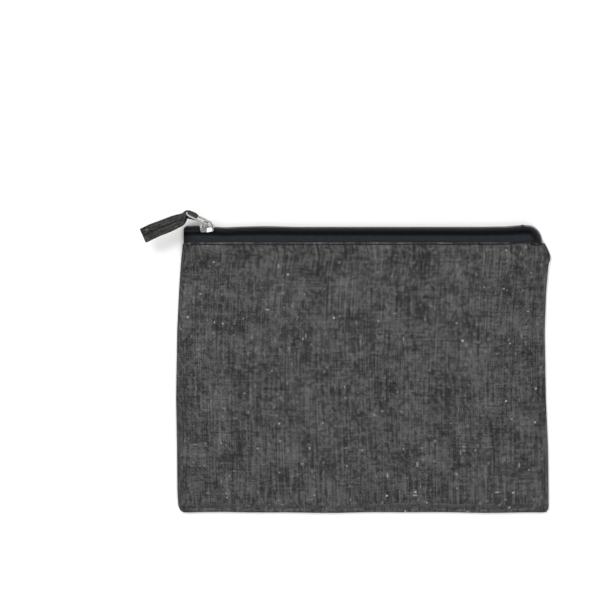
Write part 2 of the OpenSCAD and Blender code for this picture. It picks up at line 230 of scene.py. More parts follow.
class Bench:
    """A node tree under construction."""

    def __init__(self, tree: bpy.types.NodeTree) -> None:
        """Holds the tree that nodes are added to."""
        self.tree = tree

    def node(self, kind: str, settings: Settings, sockets: Sockets) -> bpy.types.Node:
        """Adds a node.

        Args:
            kind: the node's type name.
            settings: its properties, which are set first.
            sockets: values or Signals for its inputs, by name or index.

        Returns:
            The node.
        """
        made = self.tree.nodes.new(kind)
        for key, value in settings.items():
            setattr(made, key, value)
        self.plug(made, sockets)
        return made

    def plug(self, node: bpy.types.Node, sockets: Sockets) -> None:
        """Sets or links a node's inputs.

        Args:
            node: the node.
            sockets: values or Signals for its inputs, by name or index.
        """
        for key, value in sockets.items():
            if isinstance(value, Signal):
                self.tree.links.new(value.socket, node.inputs[key])
            else:
                node.inputs[key].default_value = value

    def signal(self, kind: str, settings: Settings, sockets: Sockets, output: Key = 0) -> Signal:
        """Adds a node and returns one of its outputs."""
        return Signal(self, self.node(kind, settings, sockets).outputs[output])

    def maths(self, operation: str, *values: Any) -> Signal:
        """Adds a Math node on those values."""
        return self.signal("ShaderNodeMath", {"operation": operation}, dict(enumerate(values)))

    def cut(self) -> tuple[Signal, Signal]:
        """The flat cloth's coordinates.

        Returns:
            The places across and along the cloth, in millimetres.
        """
        place = self.signal("ShaderNodeUVMap", {"uv_map": CUT_MAP}, {})
        parts = self.node("ShaderNodeSeparateXYZ", {}, {0: place})
        return Signal(self, parts.outputs[0]) / MM, Signal(self, parts.outputs[1]) / MM

    def place(self) -> Signal:
        """The piece's own coordinates, in metres."""
        return self.signal("ShaderNodeTexCoord", {}, {}, "Object")

    def vector(self, x: Any, y: Any, z: Any = 0.0) -> Signal:
        """A vector of three values."""
        return self.signal("ShaderNodeCombineXYZ", {}, {0: x, 1: y, 2: z})

    def cloud(self, vector: Signal, scale: float = 1.0, detail: float = 2.0, rough: float = 0.5) -> Signal:
        """Smooth noise about a half, of that scale, at a vector."""
        values = {"Vector": vector, "Scale": scale, "Detail": detail, "Roughness": rough}
        return self.signal("ShaderNodeTexNoise", {"noise_dimensions": "3D"}, values, 0)

    def checks(self, column: Signal, row: Signal) -> Signal:
        """1 and 0 by turns over whole columns and rows."""
        half = (column + row) * 0.5
        return (half - half.floor()) > 0.25

    def mix(self, share: Any, a: Any, b: Any) -> Signal:
        """A colour between a, at 0, and b, at 1."""
        settings = {"data_type": "RGBA", "clamp_factor": True}
        return self.signal("ShaderNodeMix", settings, {0: share, 6: a, 7: b}, 2)

    def raise_by(self, height: Signal, distance: float, strength: float = 1.0) -> Signal:
        """The normal of a surface raised by a height."""
        values = {"Strength": strength, "Distance": distance, "Height": height}
        return self.signal("ShaderNodeBump", {}, values, "Normal")


class SurfaceBench(Bench):
    """A material under construction, with one Principled shader."""

    def __init__(self, name: str) -> None:
        """Starts a node material.

        Args:
            name: its name.
        """
        self.material = bpy.data.materials.new(name)
        self.material.use_nodes = True
        super().__init__(self.material.node_tree)

    def finish(self, sockets: Sockets) -> bpy.types.Material:
        """Sets the shader's sockets and returns the material."""
        self.plug(self.tree.nodes["Principled BSDF"], sockets)
        return self.material


def grey(value: float, tint: Sequence[float] = (1, 1, 1)) -> Colour:
    """A colour of that strength and tint."""
    return (value * tint[0], value * tint[1], value * tint[2], 1.0)


def stronger(colour: Colour, share: float) -> Colour:
    """A colour that many times as strong."""
    return grey(share, colour)


@dataclass(frozen=True)
class ClothFinish:
    """Plain-weave cotton of dark warp and paler weft, slubby, with white neps."""

    name: str
    warp: float = 0.037              # strength of a dark warp yarn
    weft: float = 0.075              # strength of a paler weft yarn
    tint: tuple[float, float, float] = (1.0, 0.995, 0.99)
    pitch: float = 0.58              # between warp yarns, in millimetres
    blotch: float = 0.9              # how uneven the cloth is; the next three are shares of it
    cloudy: float = 4.8              # wide clouds
    heather: float = 3.5             # the mottle of mixed fibres
    grain: float = 2.4               # the finest unevenness
    slubs: float = 2.9               # thick places along the warp
    bars: float = 1.5                # and along the weft
    darkest: float = 0.35            # the strength that no place falls below
    nep_cell: float = 15.0           # one nep at most in a square of this side, in millimetres
    fleck_cell: float = 6.5          # and one paler fleck
    nep_colour: Colour = grey(0.42, (1.0, 0.98, 0.93))

    def yarns(self, bench: Bench, u: Signal, v: Signal) -> tuple[Signal, Signal, Signal]:
        """The weave.

        Args:
            bench: the material's bench.
            u: the cloth's coordinate across, in millimetres.
            v: the cloth's coordinate along, in millimetres.

        Returns:
            Where the warp is on top, each yarn's own shade, and the weave's height.
        """
        sway = bench.cloud(bench.vector(u / 40.0, v / 7.0), detail=1.0)
        drift = bench.cloud(bench.vector(u / 7.0, v / 40.0), detail=1.0)
        wander = 1.1                 # how far a yarn strays, in millimetres
        across = (u + sway * wander) / self.pitch
        down = (v + drift * wander) / (self.pitch * 1.12)
        column, row = across.floor(), down.floor()
        over = bench.checks(column, row)
        warp_wave = ((across - column - 0.5) * math.pi).cosine()
        weft_wave = ((down - row - 0.5) * math.pi).cosine()
        apart = 7.3                  # sets neighbouring yarns' shades apart
        warp_shade = bench.cloud(bench.vector(column * apart, v / 6.0), detail=2.0)
        weft_shade = bench.cloud(bench.vector(u / 6.0, row * apart, 4.0), detail=2.0)
        shade = over * warp_shade + (1 - over) * weft_shade
        height = over * (warp_wave + weft_wave * 0.5) + (1 - over) * (weft_wave + warp_wave * 0.5)
        return over, shade, height

    def neps(
        self, bench: Bench, u: Signal, v: Signal, cell: float, stretch: tuple[float, float], seed: float
    ) -> Signal:
        """One layer of white specks.

        Args:
            bench: the material's bench.
            u: the cloth's coordinate across, in millimetres.
            v: the cloth's coordinate along, in millimetres.
            cell: one speck at most in a square of this side, in millimetres.
            stretch: how much longer a speck is across and along.
            seed: sets this layer apart from the others.

        Returns:
            The specks' strength.
        """
        place = bench.vector(u / (cell * stretch[0]), v / (cell * stretch[1]), seed)
        values = {"Vector": place, "Scale": 1.0}
        spots = bench.node("ShaderNodeTexVoronoi", {"voronoi_dimensions": "2D"}, values)
        distance = Signal(bench, spots.outputs["Distance"])
        chance = bench.node("ShaderNodeSeparateColor", {}, {0: Signal(bench, spots.outputs["Color"])})
        size = (Signal(bench, chance.outputs[0]) * 0.6 + 0.30) / cell
        present = Signal(bench, chance.outputs[1]) > 0.4
        bright = Signal(bench, chance.outputs[2])
        fray = (bench.cloud(bench.vector(u / 0.7, v / 0.7, seed), detail=3.0) - 0.5) * (1.1 / cell)
        return (1 - ((distance + fray) / size).step(0.3, 1.2)) * present * (bright * 0.8 + 0.2)

    def unevenness(self, bench: Bench, u: Signal, v: Signal, shade: Signal) -> tuple[Signal, Signal]:
        """How much stronger or weaker the dye looks from place to place.

        Args:
            bench: the material's bench.
            u: the cloth's coordinate across, in millimetres.
            v: the cloth's coordinate along, in millimetres.
            shade: each yarn's own shade.

        Returns:
            The strength, and the finest part of it.
        """
        cloudy = bench.cloud(bench.vector(u, v), 0.05, 6.0, 0.85)
        heather = bench.cloud(bench.vector(u, v / 1.2), 0.40, 3.0, 0.75)
        grain = bench.cloud(bench.vector(u, v), 1.3, 2.0, 0.6)
        slubs = bench.cloud(bench.vector(u / 0.9, v / 28.0), detail=3.0, rough=0.6)
        bars = bench.cloud(bench.vector(u / 22.0, v / 0.9, 9.0), detail=3.0, rough=0.6)
        strength = (
            1
            + (cloudy - 0.5) * (self.cloudy * self.blotch)
            + (heather - 0.5) * (self.heather * self.blotch)
            + (grain - 0.5) * (self.grain * self.blotch)
            + (slubs - 0.5) * self.slubs
            + (bars - 0.5) * self.bars
            + (shade - 0.5)
        )
        return bench.maths("MAXIMUM", strength, self.darkest), grain

    def material(self) -> bpy.types.Material:
        """Builds the finish.

        Returns:
            The material.
        """
        bench = SurfaceBench(self.name)
        u, v = bench.cut()
        over, shade, height = self.yarns(bench, u, v)
        strength, grain = self.unevenness(bench, u, v, shade)
        yarn = bench.mix(over, grey(self.weft, self.tint), grey(self.warp, self.tint))
        tone = bench.signal("ShaderNodeVectorMath", {"operation": "SCALE"}, {0: yarn, "Scale": strength})
        specks = self.neps(bench, u, v, self.nep_cell, (1.0, 1.0), 0.0)
        wide = self.nep_cell * 1.3
        for layer in (
            self.neps(bench, u + 7.0, v, wide, (2.2, 0.8), 3.0) * 0.6,
            self.neps(bench, u, v + 5.0, wide, (0.8, 2.2), 8.0) * 0.6,
            self.neps(bench, u + 3.0, v + 2.0, self.fleck_cell, (1.0, 1.4), 5.0) * 0.3,
        ):
            specks = bench.maths("MAXIMUM", specks, layer)
        relief = height + (grain - 0.5) * 1.2 + specks * 0.9 + (shade - 0.5) * 0.6
        return bench.finish({
            "Base Color": bench.mix(specks * 0.85, tone, self.nep_colour),
            "Roughness": 0.94 - specks * 0.05,
            "Normal": bench.raise_by(relief, 0.09 * MM, 0.75),
            "Sheen Weight": 0.04,
            "Sheen Roughness": 0.5,
            "Specular IOR Level": 0.12,
        })


@dataclass(frozen=True)
class TapeFinish:
    """Narrow woven polyester, fine ribs along it, with painted shade in its colour along the groove where it
    turns in under the coil.
    """

    name: str
    colour: Colour = (0.0155, 0.0178, 0.0216, 1.0)
    rib: float = 0.42                # between ribs, in millimetres
    painted_shade_fade: tuple[float, float] = (3.5, 5.3)     # over which the painted shade beside the coil fades out, in millimetres across

    def material(self) -> bpy.types.Material:
        """Builds the finish.

        Returns:
            The material.
        """
        bench = SurfaceBench(self.name)
        u, v = bench.cut()
        column, row = (u / self.rib).floor(), (v / self.rib).floor()
        over = bench.checks(column, row)
        ribs = ((v / self.rib - row - 0.5) * math.pi).cosine()
        cross = ((u / self.rib - column - 0.5) * math.pi).cosine()
        relief = over * ribs + (1 - over) * cross * 0.8
        wear = bench.cloud(bench.vector(u / 3.0, v / 1.5), detail=3.0)
        dark, pale = stronger(self.colour, 0.62), stronger(self.colour, 1.55)
        woven = bench.mix(relief * 0.4 + wear * 0.9 - 0.15, dark, pale)
        # Painted shade: in a band beside the coil the colour falls to a fifth of the tape's, standing in for
        # the shadow in the groove there; right under the coil it is mostly lifted
        shade_lifted_under_coil = (1 - v.step(1.0, 2.2)) * 0.7
        clear = bench.maths("MAXIMUM", v.step(*self.painted_shade_fade), shade_lifted_under_coil)
        return bench.finish({
            # the painted shade colour, a fifth of the tape's, wherever clear is low
            "Base Color": bench.mix(clear, stronger(self.colour, 0.2), woven),
            "Roughness": 0.8 - relief * 0.08,
            "Normal": bench.raise_by(relief, 0.05 * MM, 0.7),
            "Specular IOR Level": 0.05,
        })


@dataclass(frozen=True)
class StrandFinish:
    """A drawn or twisted strand: sewing thread, knitted cord or nylon monofilament."""

    name: str
    colour: Colour
    roughness: float
    coat: float = 0.0
    ply: float = 0.0                 # depth of the twist, in millimetres
    ply_pitch: float = 0.45          # length of one turn, in millimetres

    def material(self) -> bpy.types.Material:
        """Builds the finish.

        Returns:
            The material.
        """
        bench = SurfaceBench(self.name)
        speckle = bench.cloud(bench.place(), 900.0, 3.0)
        sockets: Sockets = {
            "Base Color": bench.mix(speckle * 1.6 - 0.4, self.colour, stronger(self.colour, 1.5)),
            "Roughness": self.roughness + (speckle - 0.5) * 0.2,
            "Coat Weight": self.coat,
            "Specular IOR Level": 0.1,
        }
        if self.ply:
            u, v = bench.cut()
            turns = ((u / self.ply_pitch + v) * (2 * math.pi)).cosine()
            sockets["Normal"] = bench.raise_by(turns, self.ply * MM, 0.8)
        else:
            sockets["Normal"] = bench.raise_by(speckle, 0.01 * MM, 0.5)
        return bench.finish(sockets)


@dataclass(frozen=True)
class MetalFinish:
    """Plated metal with fine scuffs, brighter and rougher in random patches."""

    name: str
    colour: Colour
    roughness: float
    scuff: float = 0.08

    def material(self) -> bpy.types.Material:
        """Builds the finish.

        Returns:
            The material.
        """
        bench = SurfaceBench(self.name)
        place = bench.place()
        haze = bench.cloud(place, 500.0, 4.0, 0.6)
        fine = bench.cloud(place, 4000.0, 2.0)
        return bench.finish({
            "Base Color": bench.mix(haze * 1.4 - 0.2, stronger(self.colour, 0.82), self.colour),
            "Metallic": 1.0,
            "Roughness": self.roughness + haze * self.scuff,
            "Normal": bench.raise_by(fine, 0.002 * MM, 0.25),
        })


@dataclass(frozen=True)
class GroundFinish:
    """A matt white studio floor."""

    name: str
    colour: float = 0.93

    def material(self) -> bpy.types.Material:
        """Builds the finish."""
        return SurfaceBench(self.name).finish({"Base Color": grey(self.colour), "Roughness": 0.95})


class Finishes:
    """Every finish of the pouch, built once."""

    def __init__(self) -> None:
        """Builds the materials."""
        near_black = (0.012, 0.012, 0.014, 1.0)
        nylon, coil_thread = (0.024, 0.024, 0.025, 1.0), (0.024, 0.024, 0.026, 1.0)
        faded = (1.0, 0.985, 0.95)
        twist = 0.04
        self.cloth = ClothFinish("charcoal_chambray").material()
        self.inner = ClothFinish("charcoal_chambray_inside", 0.030, 0.085, blotch=0.6).material()
        self.puller = ClothFinish("charcoal_puller_cloth", 0.026, 0.052, tint=faded).material()
        self.tape = TapeFinish("zipper_tape_weave").material()
        self.nylon = StrandFinish("nylon_monofilament", nylon, 0.45, coat=0.02).material()
        self.cord = StrandFinish("knitted_cord", (0.018, 0.019, 0.022, 1.0), 0.8, ply=0.08).material()
        self.thread = StrandFinish("spun_thread", near_black, 0.72, ply=twist).material()
        self.seam = StrandFinish("overlock_thread", (0.05, 0.05, 0.052, 1.0), 0.75, ply=twist).material()
        self.coil_thread = StrandFinish("coil_thread", coil_thread, 0.75, ply=twist).material()
        self.nickel = MetalFinish("bright_nickel", (0.50, 0.49, 0.47, 1.0), 0.17).material()
        self.spring = MetalFinish("spring_steel", (0.58, 0.58, 0.59, 1.0), 0.3, scuff=0.2).material()
        self.ground = GroundFinish("white_ground").material()


# ---------------------------------------------------------------- mesh work


@dataclass
class Patch:
    """Points, faces and flat coordinates that become one mesh."""

    points: list[Array] = field(default_factory=list)
    faces: Faces = field(default_factory=list)
    cuts: list[Array] = field(default_factory=list)
    count: int = 0

    def add(self, points: Array, faces: Iterable[Sequence[int]], cuts: Array) -> int:
        """Adds a piece of surface.

        Args:
            points: its points.
            faces: its faces, counted from its own first point.
            cuts: each point's place on the flat cloth.

        Returns:
            The index of its first point in the patch.
        """
        first = self.count
        self.points.append(np.asarray(points, float).reshape(-1, 3))
        self.cuts.append(np.asarray(cuts, float).reshape(-1, 2))
        self.faces.extend(tuple(first + i for i in face) for face in faces)
        self.count += len(self.points[-1])
        return first

    def grid(self, points: Array, cuts: Array, flip: bool = False, closed: bool = False) -> int:
        """Adds a grid of points as quads.

        Args:
            points: the points, in rows and columns.
            cuts: each point's place on the flat cloth.
            flip: faces the other way.
            closed: joins the last column to the first.

        Returns:
            The index of its first point in the patch.
        """
        rows, columns = points.shape[:2]
        faces = []
        for row in range(0, (rows - 1) * columns, columns):
            for i in range(columns if closed else columns - 1):
                right = (i + 1) % columns
                quad = (row + i, row + right, row + columns + right, row + columns + i)
                faces.append(quad[::-1] if flip else quad)
        return self.add(points, faces, cuts)

    def tube(self, path: Array, radius: Union[float, Array], sides: int = 7) -> None:
        """Adds a closed round strand along a path.

        Args:
            path: the strand's middle line.
            radius: its radius, or one for each point of the path.
            sides: how many sides its section has.
        """
        count = len(path)
        ahead = unit(np.gradient(path, axis=0))
        normal = np.zeros_like(path)
        seed = np.eye(3)[np.argmin(np.abs(ahead[0]))]
        normal[0] = unit(seed - ahead[0] * (seed @ ahead[0]))
        for k in range(1, count):
            normal[k] = unit(normal[k - 1] - ahead[k] * (normal[k - 1] @ ahead[k]))
        other = np.cross(ahead, normal)
        angles = np.linspace(0, 2 * math.pi, sides, endpoint=False)
        cosine, sine = np.cos(angles)[None, :, None], np.sin(angles)[None, :, None]
        radii = np.broadcast_to(radius, (count,))[:, None, None]
        ring = path[:, None] + radii * (cosine * normal[:, None] + sine * other[:, None])
        lengths = arc_lengths(path, 0)
        cuts = np.stack(np.broadcast_arrays(lengths[:, None], (angles / (2 * math.pi) * MM)[None, :]), -1)
        first = self.grid(ring, cuts, closed=True)
        self.faces.append(tuple(first + i for i in reversed(range(sides))))
        self.faces.append(tuple(first + (count - 1) * sides + i for i in range(sides)))

    def piece(self, name: str, material: bpy.types.Material) -> bpy.types.Object:
        """The patch as an object in the scene, smooth, with its cut map.

        Args:
            name: the piece's name.
            material: its finish.

        Returns:
            The piece.
        """
        mesh = bpy.data.meshes.new(name)
        mesh.from_pydata(np.vstack(self.points).tolist(), [], self.faces)
        layer = mesh.uv_layers.new(name=CUT_MAP)
        corners = np.zeros(len(mesh.loops), int)
        mesh.loops.foreach_get("vertex_index", corners)
        layer.data.foreach_set("uv", np.vstack(self.cuts)[corners].astype(np.float32).ravel())
        mesh.polygons.foreach_set("use_smooth", [True] * len(mesh.polygons))
        mesh.materials.append(material)
        made = bpy.data.objects.new(name, mesh)
        bpy.context.scene.collection.objects.link(made)
        return made


def thicken(piece: bpy.types.Object, thickness: float, levels: int = 0) -> None:
    """Gives a surface its smoothness and its thickness.

    Args:
        piece: the surface, which stays in the middle of its thickness.
        thickness: how thick it becomes.
        levels: how many times its quads are split first.
    """
    if levels:
        smooth = piece.modifiers.new("Smooth", "SUBSURF")
        smooth.levels = smooth.render_levels = levels
    solid = piece.modifiers.new("Cloth thickness", "SOLIDIFY")
    solid.thickness, solid.offset = thickness, 0.0


@dataclass(frozen=True)
class Stitch:
    """One machine stitch of a row: a thread that dives into the cloth at both ends."""

    length: float
    gap: float                       # from its end to the next one's start
    radius: float
    sink: float                      # how deep its ends dive

    def row(self, patch: Patch, line: Array, up: Array) -> None:
        """Adds a row of stitches along a line that lies on the cloth.

        Args:
            patch: where the stitches go.
            line: points along the row.
            up: the cloth's normal at each point.
        """
        half = np.array([-self.sink, -0.3 * self.sink, 0.55 * self.radius, 0.8 * self.radius])
        lift = np.concatenate([half, half[::-1]])[:, None]
        shares = np.array([0, 0.07, 0.2, 0.4, 0.6, 0.8, 0.93, 1.0])
        run = arc_lengths(line, 0)
        start = 0.4 * self.gap
        while start + self.length < run[-1]:
            at = start + self.length * shares
            patch.tube(along(line, run, at) + along(up, run, at) * lift, self.radius, 6)
            start += self.length + self.gap


def give(piece: bpy.types.Object, body: Body, slot: str, *nodes: str) -> bpy.types.Object:
    """Rides a piece on a body, in the place of CAD nodes."""
    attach(piece, body.value)
    return claim(piece, slot, *nodes)


def claim(piece: bpy.types.Object, slot: str, *nodes: str) -> bpy.types.Object:
    """Puts a piece in the place of CAD nodes, and reports it.

    Args:
        piece: the piece.
        slot: the finish slot's name; not used.
        nodes: the CAD nodes that it replaces.

    Returns:
        The piece.
    """
    if nodes:
        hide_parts(*nodes)
    LOG.info("built %s", piece.name)
    return piece


# ---------------------------------------------------------------- the pouch's frame


@dataclass
class Outline:
    """The pouch's flat outline, from the back panel in the frame."""

    low: float = field(init=False)      # the bottom seam
    fold: float = field(init=False)     # the cloth's folded edge beside the zipper
    left_corner: float = 3.6 * MM
    right_corner: float = 1.8 * MM
    soften: float = 1.3 * MM            # how far the edge's corners are rounded off along it
    droop: float = 0.3 * MM             # how far the soft bottom edge rolls past the seam

    def __post_init__(self) -> None:
        """Reads the outline's points off the back panel's underside."""
        points = np.array([v.co for v in frame["nodes"]["back_panel"].data.vertices])
        flat = 0.1 * MM
        under = points[points[:, 2] < flat]
        self.low, self.fold = float(under[:, 1].min()), float(under[:, 1].max())
        beyond = 0.4 * float(np.ptp(under[:, 0]))
        corner = 3 * MM
        self._sides = []
        for sign in (-1, 1):
            edge = under[under[:, 0] * sign > beyond]
            edge = edge[np.argsort(edge[:, 1])]
            self._sides.append(edge[edge[:, 1] > self.low + corner])

    def _side(self, y: Array, which: int) -> Array:
        """An edge's x at heights y, its corners softened.

        Args:
            y: the heights.
            which: 0 for the left edge, 1 for the right.

        Returns:
            The edge's x at each.
        """
        edge = self._sides[which]
        offsets = np.linspace(-1, 1, 7) * self.soften
        return np.mean([np.interp(np.asarray(y) + o, edge[:, 1], edge[:, 0]) for o in offsets], axis=0)

    def left(self, y: Array) -> Array:
        """The left edge's x at heights y."""
        return self._side(y, 0)

    def right(self, y: Array) -> Array:
        """The right edge's x at heights y."""
        return self._side(y, 1)

    def spread(self, share: Array, y: Array, inset: float) -> Array:
        """Places across the pouch.

        Args:
            share: the share of the way from the left edge to the right one.
            y: the heights.
            inset: how far both edges are drawn in.

        Returns:
            The x of each.
        """
        low, high = self.left(y) + inset, self.right(y) - inset
        return low + (high - low) * share

    def foot(self, share: Array, inset: float) -> Array:
        """The bottom edge, with its rounded corners and faint waviness.

        Args:
            share: the shares of the width.
            inset: how far the edge is drawn in.

        Returns:
            The edge's y at each.
        """
        level = np.full_like(share, self.low + self.left_corner)
        x = self.spread(share, level, inset)
        rise = np.zeros_like(share)
        ends = ((x - x[0], self.left_corner), (x[-1] - x, self.right_corner))
        for distance, radius in ends:
            r = radius - 0.5 * inset
            d = np.clip(distance, 0, r)
            rise += r - np.sqrt(np.maximum(r * r - (r - d) ** 2, 0))
        wave = 0.2 * MM * swell(x, 17 * MM) + 0.12 * MM * swell(x, 7.3 * MM, 1)
        fade = ease(np.minimum(x - x[0], x[-1] - x) / (12 * MM))
        return self.low - self.droop + inset + rise + wave * fade


@dataclass
class Mouth:
    """The zipper's own frame, and the way that the mouth closes down to the side seams."""

    outline: Outline
    bend_x: float = 98.5 * MM           # where the chain turns down at the open end
    bend_y: float = 76.2 * MM           # the middle of that turn
    bend_r: float = 7.3 * MM            # the turn's radius at the chain's middle
    bend_turn: float = math.radians(106)
    left_r: float = 2.2 * MM            # the corner at the closed end
    seam_z: float = 1.7 * MM            # the height that the mouth closes to
    closing_run: float = 9.2 * MM       # how far from a side seam it starts to
    left_start: float = -103.2 * MM     # where the zipper is drawn in to the closed end
    lens_end: float = 90 * MM           # where the weights towards the flap fall to 0, from the middle
    body_still: float = -75 * MM        # the y up to which those weights stay at 0 down the front
    body_lifted: float = 62 * MM        # and from which they are whole
    rest_x: float = field(init=False)
    origin: Array = field(init=False)
    lean: float = field(init=False)
    top: float = field(init=False)

    def __post_init__(self) -> None:
        """Reads the chain's lean off the loop's axis, and its middle off the two coils."""
        axis = next(j["axis"] for j in frame["joints"] if j["name"] == "loop_swing")
        self.lean = math.atan2(-axis[1], axis[2])
        corners = [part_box(node) for node in ("back_coil", "front_coil")]
        low = np.min([c[0] for c in corners], axis=0)
        high = np.max([c[1] for c in corners], axis=0)
        self.origin = np.array([0.0, (low[1] + high[1]) / 2, (low[2] + high[2]) / 2])
        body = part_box("slider_body")
        self.rest_x = (body[0].x + body[1].x) / 2
        self.top = float(high[1])

    def ends(self) -> tuple[float, float]:
        """The x of the two side seams at the mouth."""
        at = self.outline.fold - 0.5 * MM
        return float(self.outline.left(at)), float(self.outline.right(at))

    def world(self, x: Array, out: Array, front: Array) -> Array:
        """Points given in the chain's own directions, in the frame's axes.

        Args:
            x: places along the chain.
            out: distances out of its face.
            front: distances towards the front.

        Returns:
            The points.
        """
        x, out, front = np.broadcast_arrays(x, out, front)
        c, s = math.cos(self.lean), math.sin(self.lean)
        y = self.origin[1] + out * c - front * s
        z = self.origin[2] + out * s + front * c
        return np.stack([x, y, z], -1)

    def openness(self, inwards: Array) -> Array:
        """How much of the mouth's height is left at a distance in from a side seam."""
        return 0.05 + 0.95 * ease(inwards / self.closing_run)

    def pinch(self, x: Array, z: Array) -> Array:
        """Closes heights down towards the side seams.

        Args:
            x: places along the zipper.
            z: the heights there.

        Returns:
            The heights after it.
        """
        left, right = self.ends()
        inwards = np.clip(np.minimum(x - left, right - x), 0, None)
        return self.seam_z + (z - self.seam_z) * self.openness(inwards)

    def wave(self, x: Array) -> Array:
        """The slight rise and fall of the zipper along the pouch.

        Args:
            x: places along the zipper.

        Returns:
            How far the zipper stands off from straight at each.
        """
        humps = (                       # middle, reach and height, in millimetres
            (-83, 10, -0.4),
            (-58, 22, 0.4),
            (82, 12, 0.2),
            (96, 13, 1.0),
        )
        level = -0.22 * MM * ease((x + 88 * MM) / (10 * MM))
        return level + sum(height * MM * bump(x, at * MM, reach * MM) for at, reach, height in humps)

    def round_open_end(self, x: Array, y: Array, reach: Array) -> tuple[Array, Array]:
        """Swings what lies beyond the open end down round the bend's middle.

        Args:
            x: places along the zipper.
            y: heights above the pouch.
            reach: distances out from the bend's middle.

        Returns:
            The places and heights after the turn.
        """
        turn = np.clip((x - self.bend_x) / self.bend_r, 0, self.bend_turn)
        past = turn > 0
        out = np.maximum(reach, 0)
        swung_x, swung_y = self.bend_x + out * np.sin(turn), self.bend_y + out * np.cos(turn)
        straight = np.minimum(x, self.bend_x + (x - self.bend_x) * 0.55)
        keep = ease(1 - reach / (3.2 * MM))
        new_x = np.where(past, swung_x * (1 - keep) + straight * keep, x)
        new_y = np.where(past, swung_y * (1 - keep) + y * keep, y)
        return new_x, new_y

    def shape(self, points: Array) -> Array:
        """Lays straight zipper points as they lie: waved, turned down and closed at the ends.

        Args:
            points: the straight points.

        Returns:
            The points where they lie.
        """
        p = np.array(points, float)
        x, y, z = p[..., 0], p[..., 1], p[..., 2]
        fold = self.outline.fold
        y = y + self.wave(x) * np.clip((y - fold) / (6 * MM), 0, 1)
        x, y = self.round_open_end(x, y, y - self.bend_y)
        end = self.ends()[0] + 0.7 * MM
        rise = np.clip(y - (self.top - self.left_r), 0, self.left_r)
        cut = self.left_r - np.sqrt(self.left_r**2 - rise**2)
        start = self.left_start
        x = np.where(x < start, start + (x - start) * (end + cut - start) / (end - start), x)
        return np.stack([x, y, self.pinch(x, z)], -1)

    def part(self, piece: bpy.types.Object, reaches_down: bool = False) -> None:
        """Bakes a piece of the front into the frame's axes and weighs how far it would follow the flap, most
        at the zipper's middle; nothing uses the weights.

        Args:
            piece: the piece, with no parent.
            reaches_down: also fades the weights out down the front of the pouch.
        """
        end = self.lens_end
        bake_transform(piece)
        co = np.array([v.co for v in piece.data.vertices])
        weight = ease(1 - np.abs(co[:, 0]) / end)
        if reaches_down:
            weight = weight * ease((co[:, 1] - self.body_still) / (self.body_lifted - self.body_still))


# ---------------------------------------------------------------- cloth


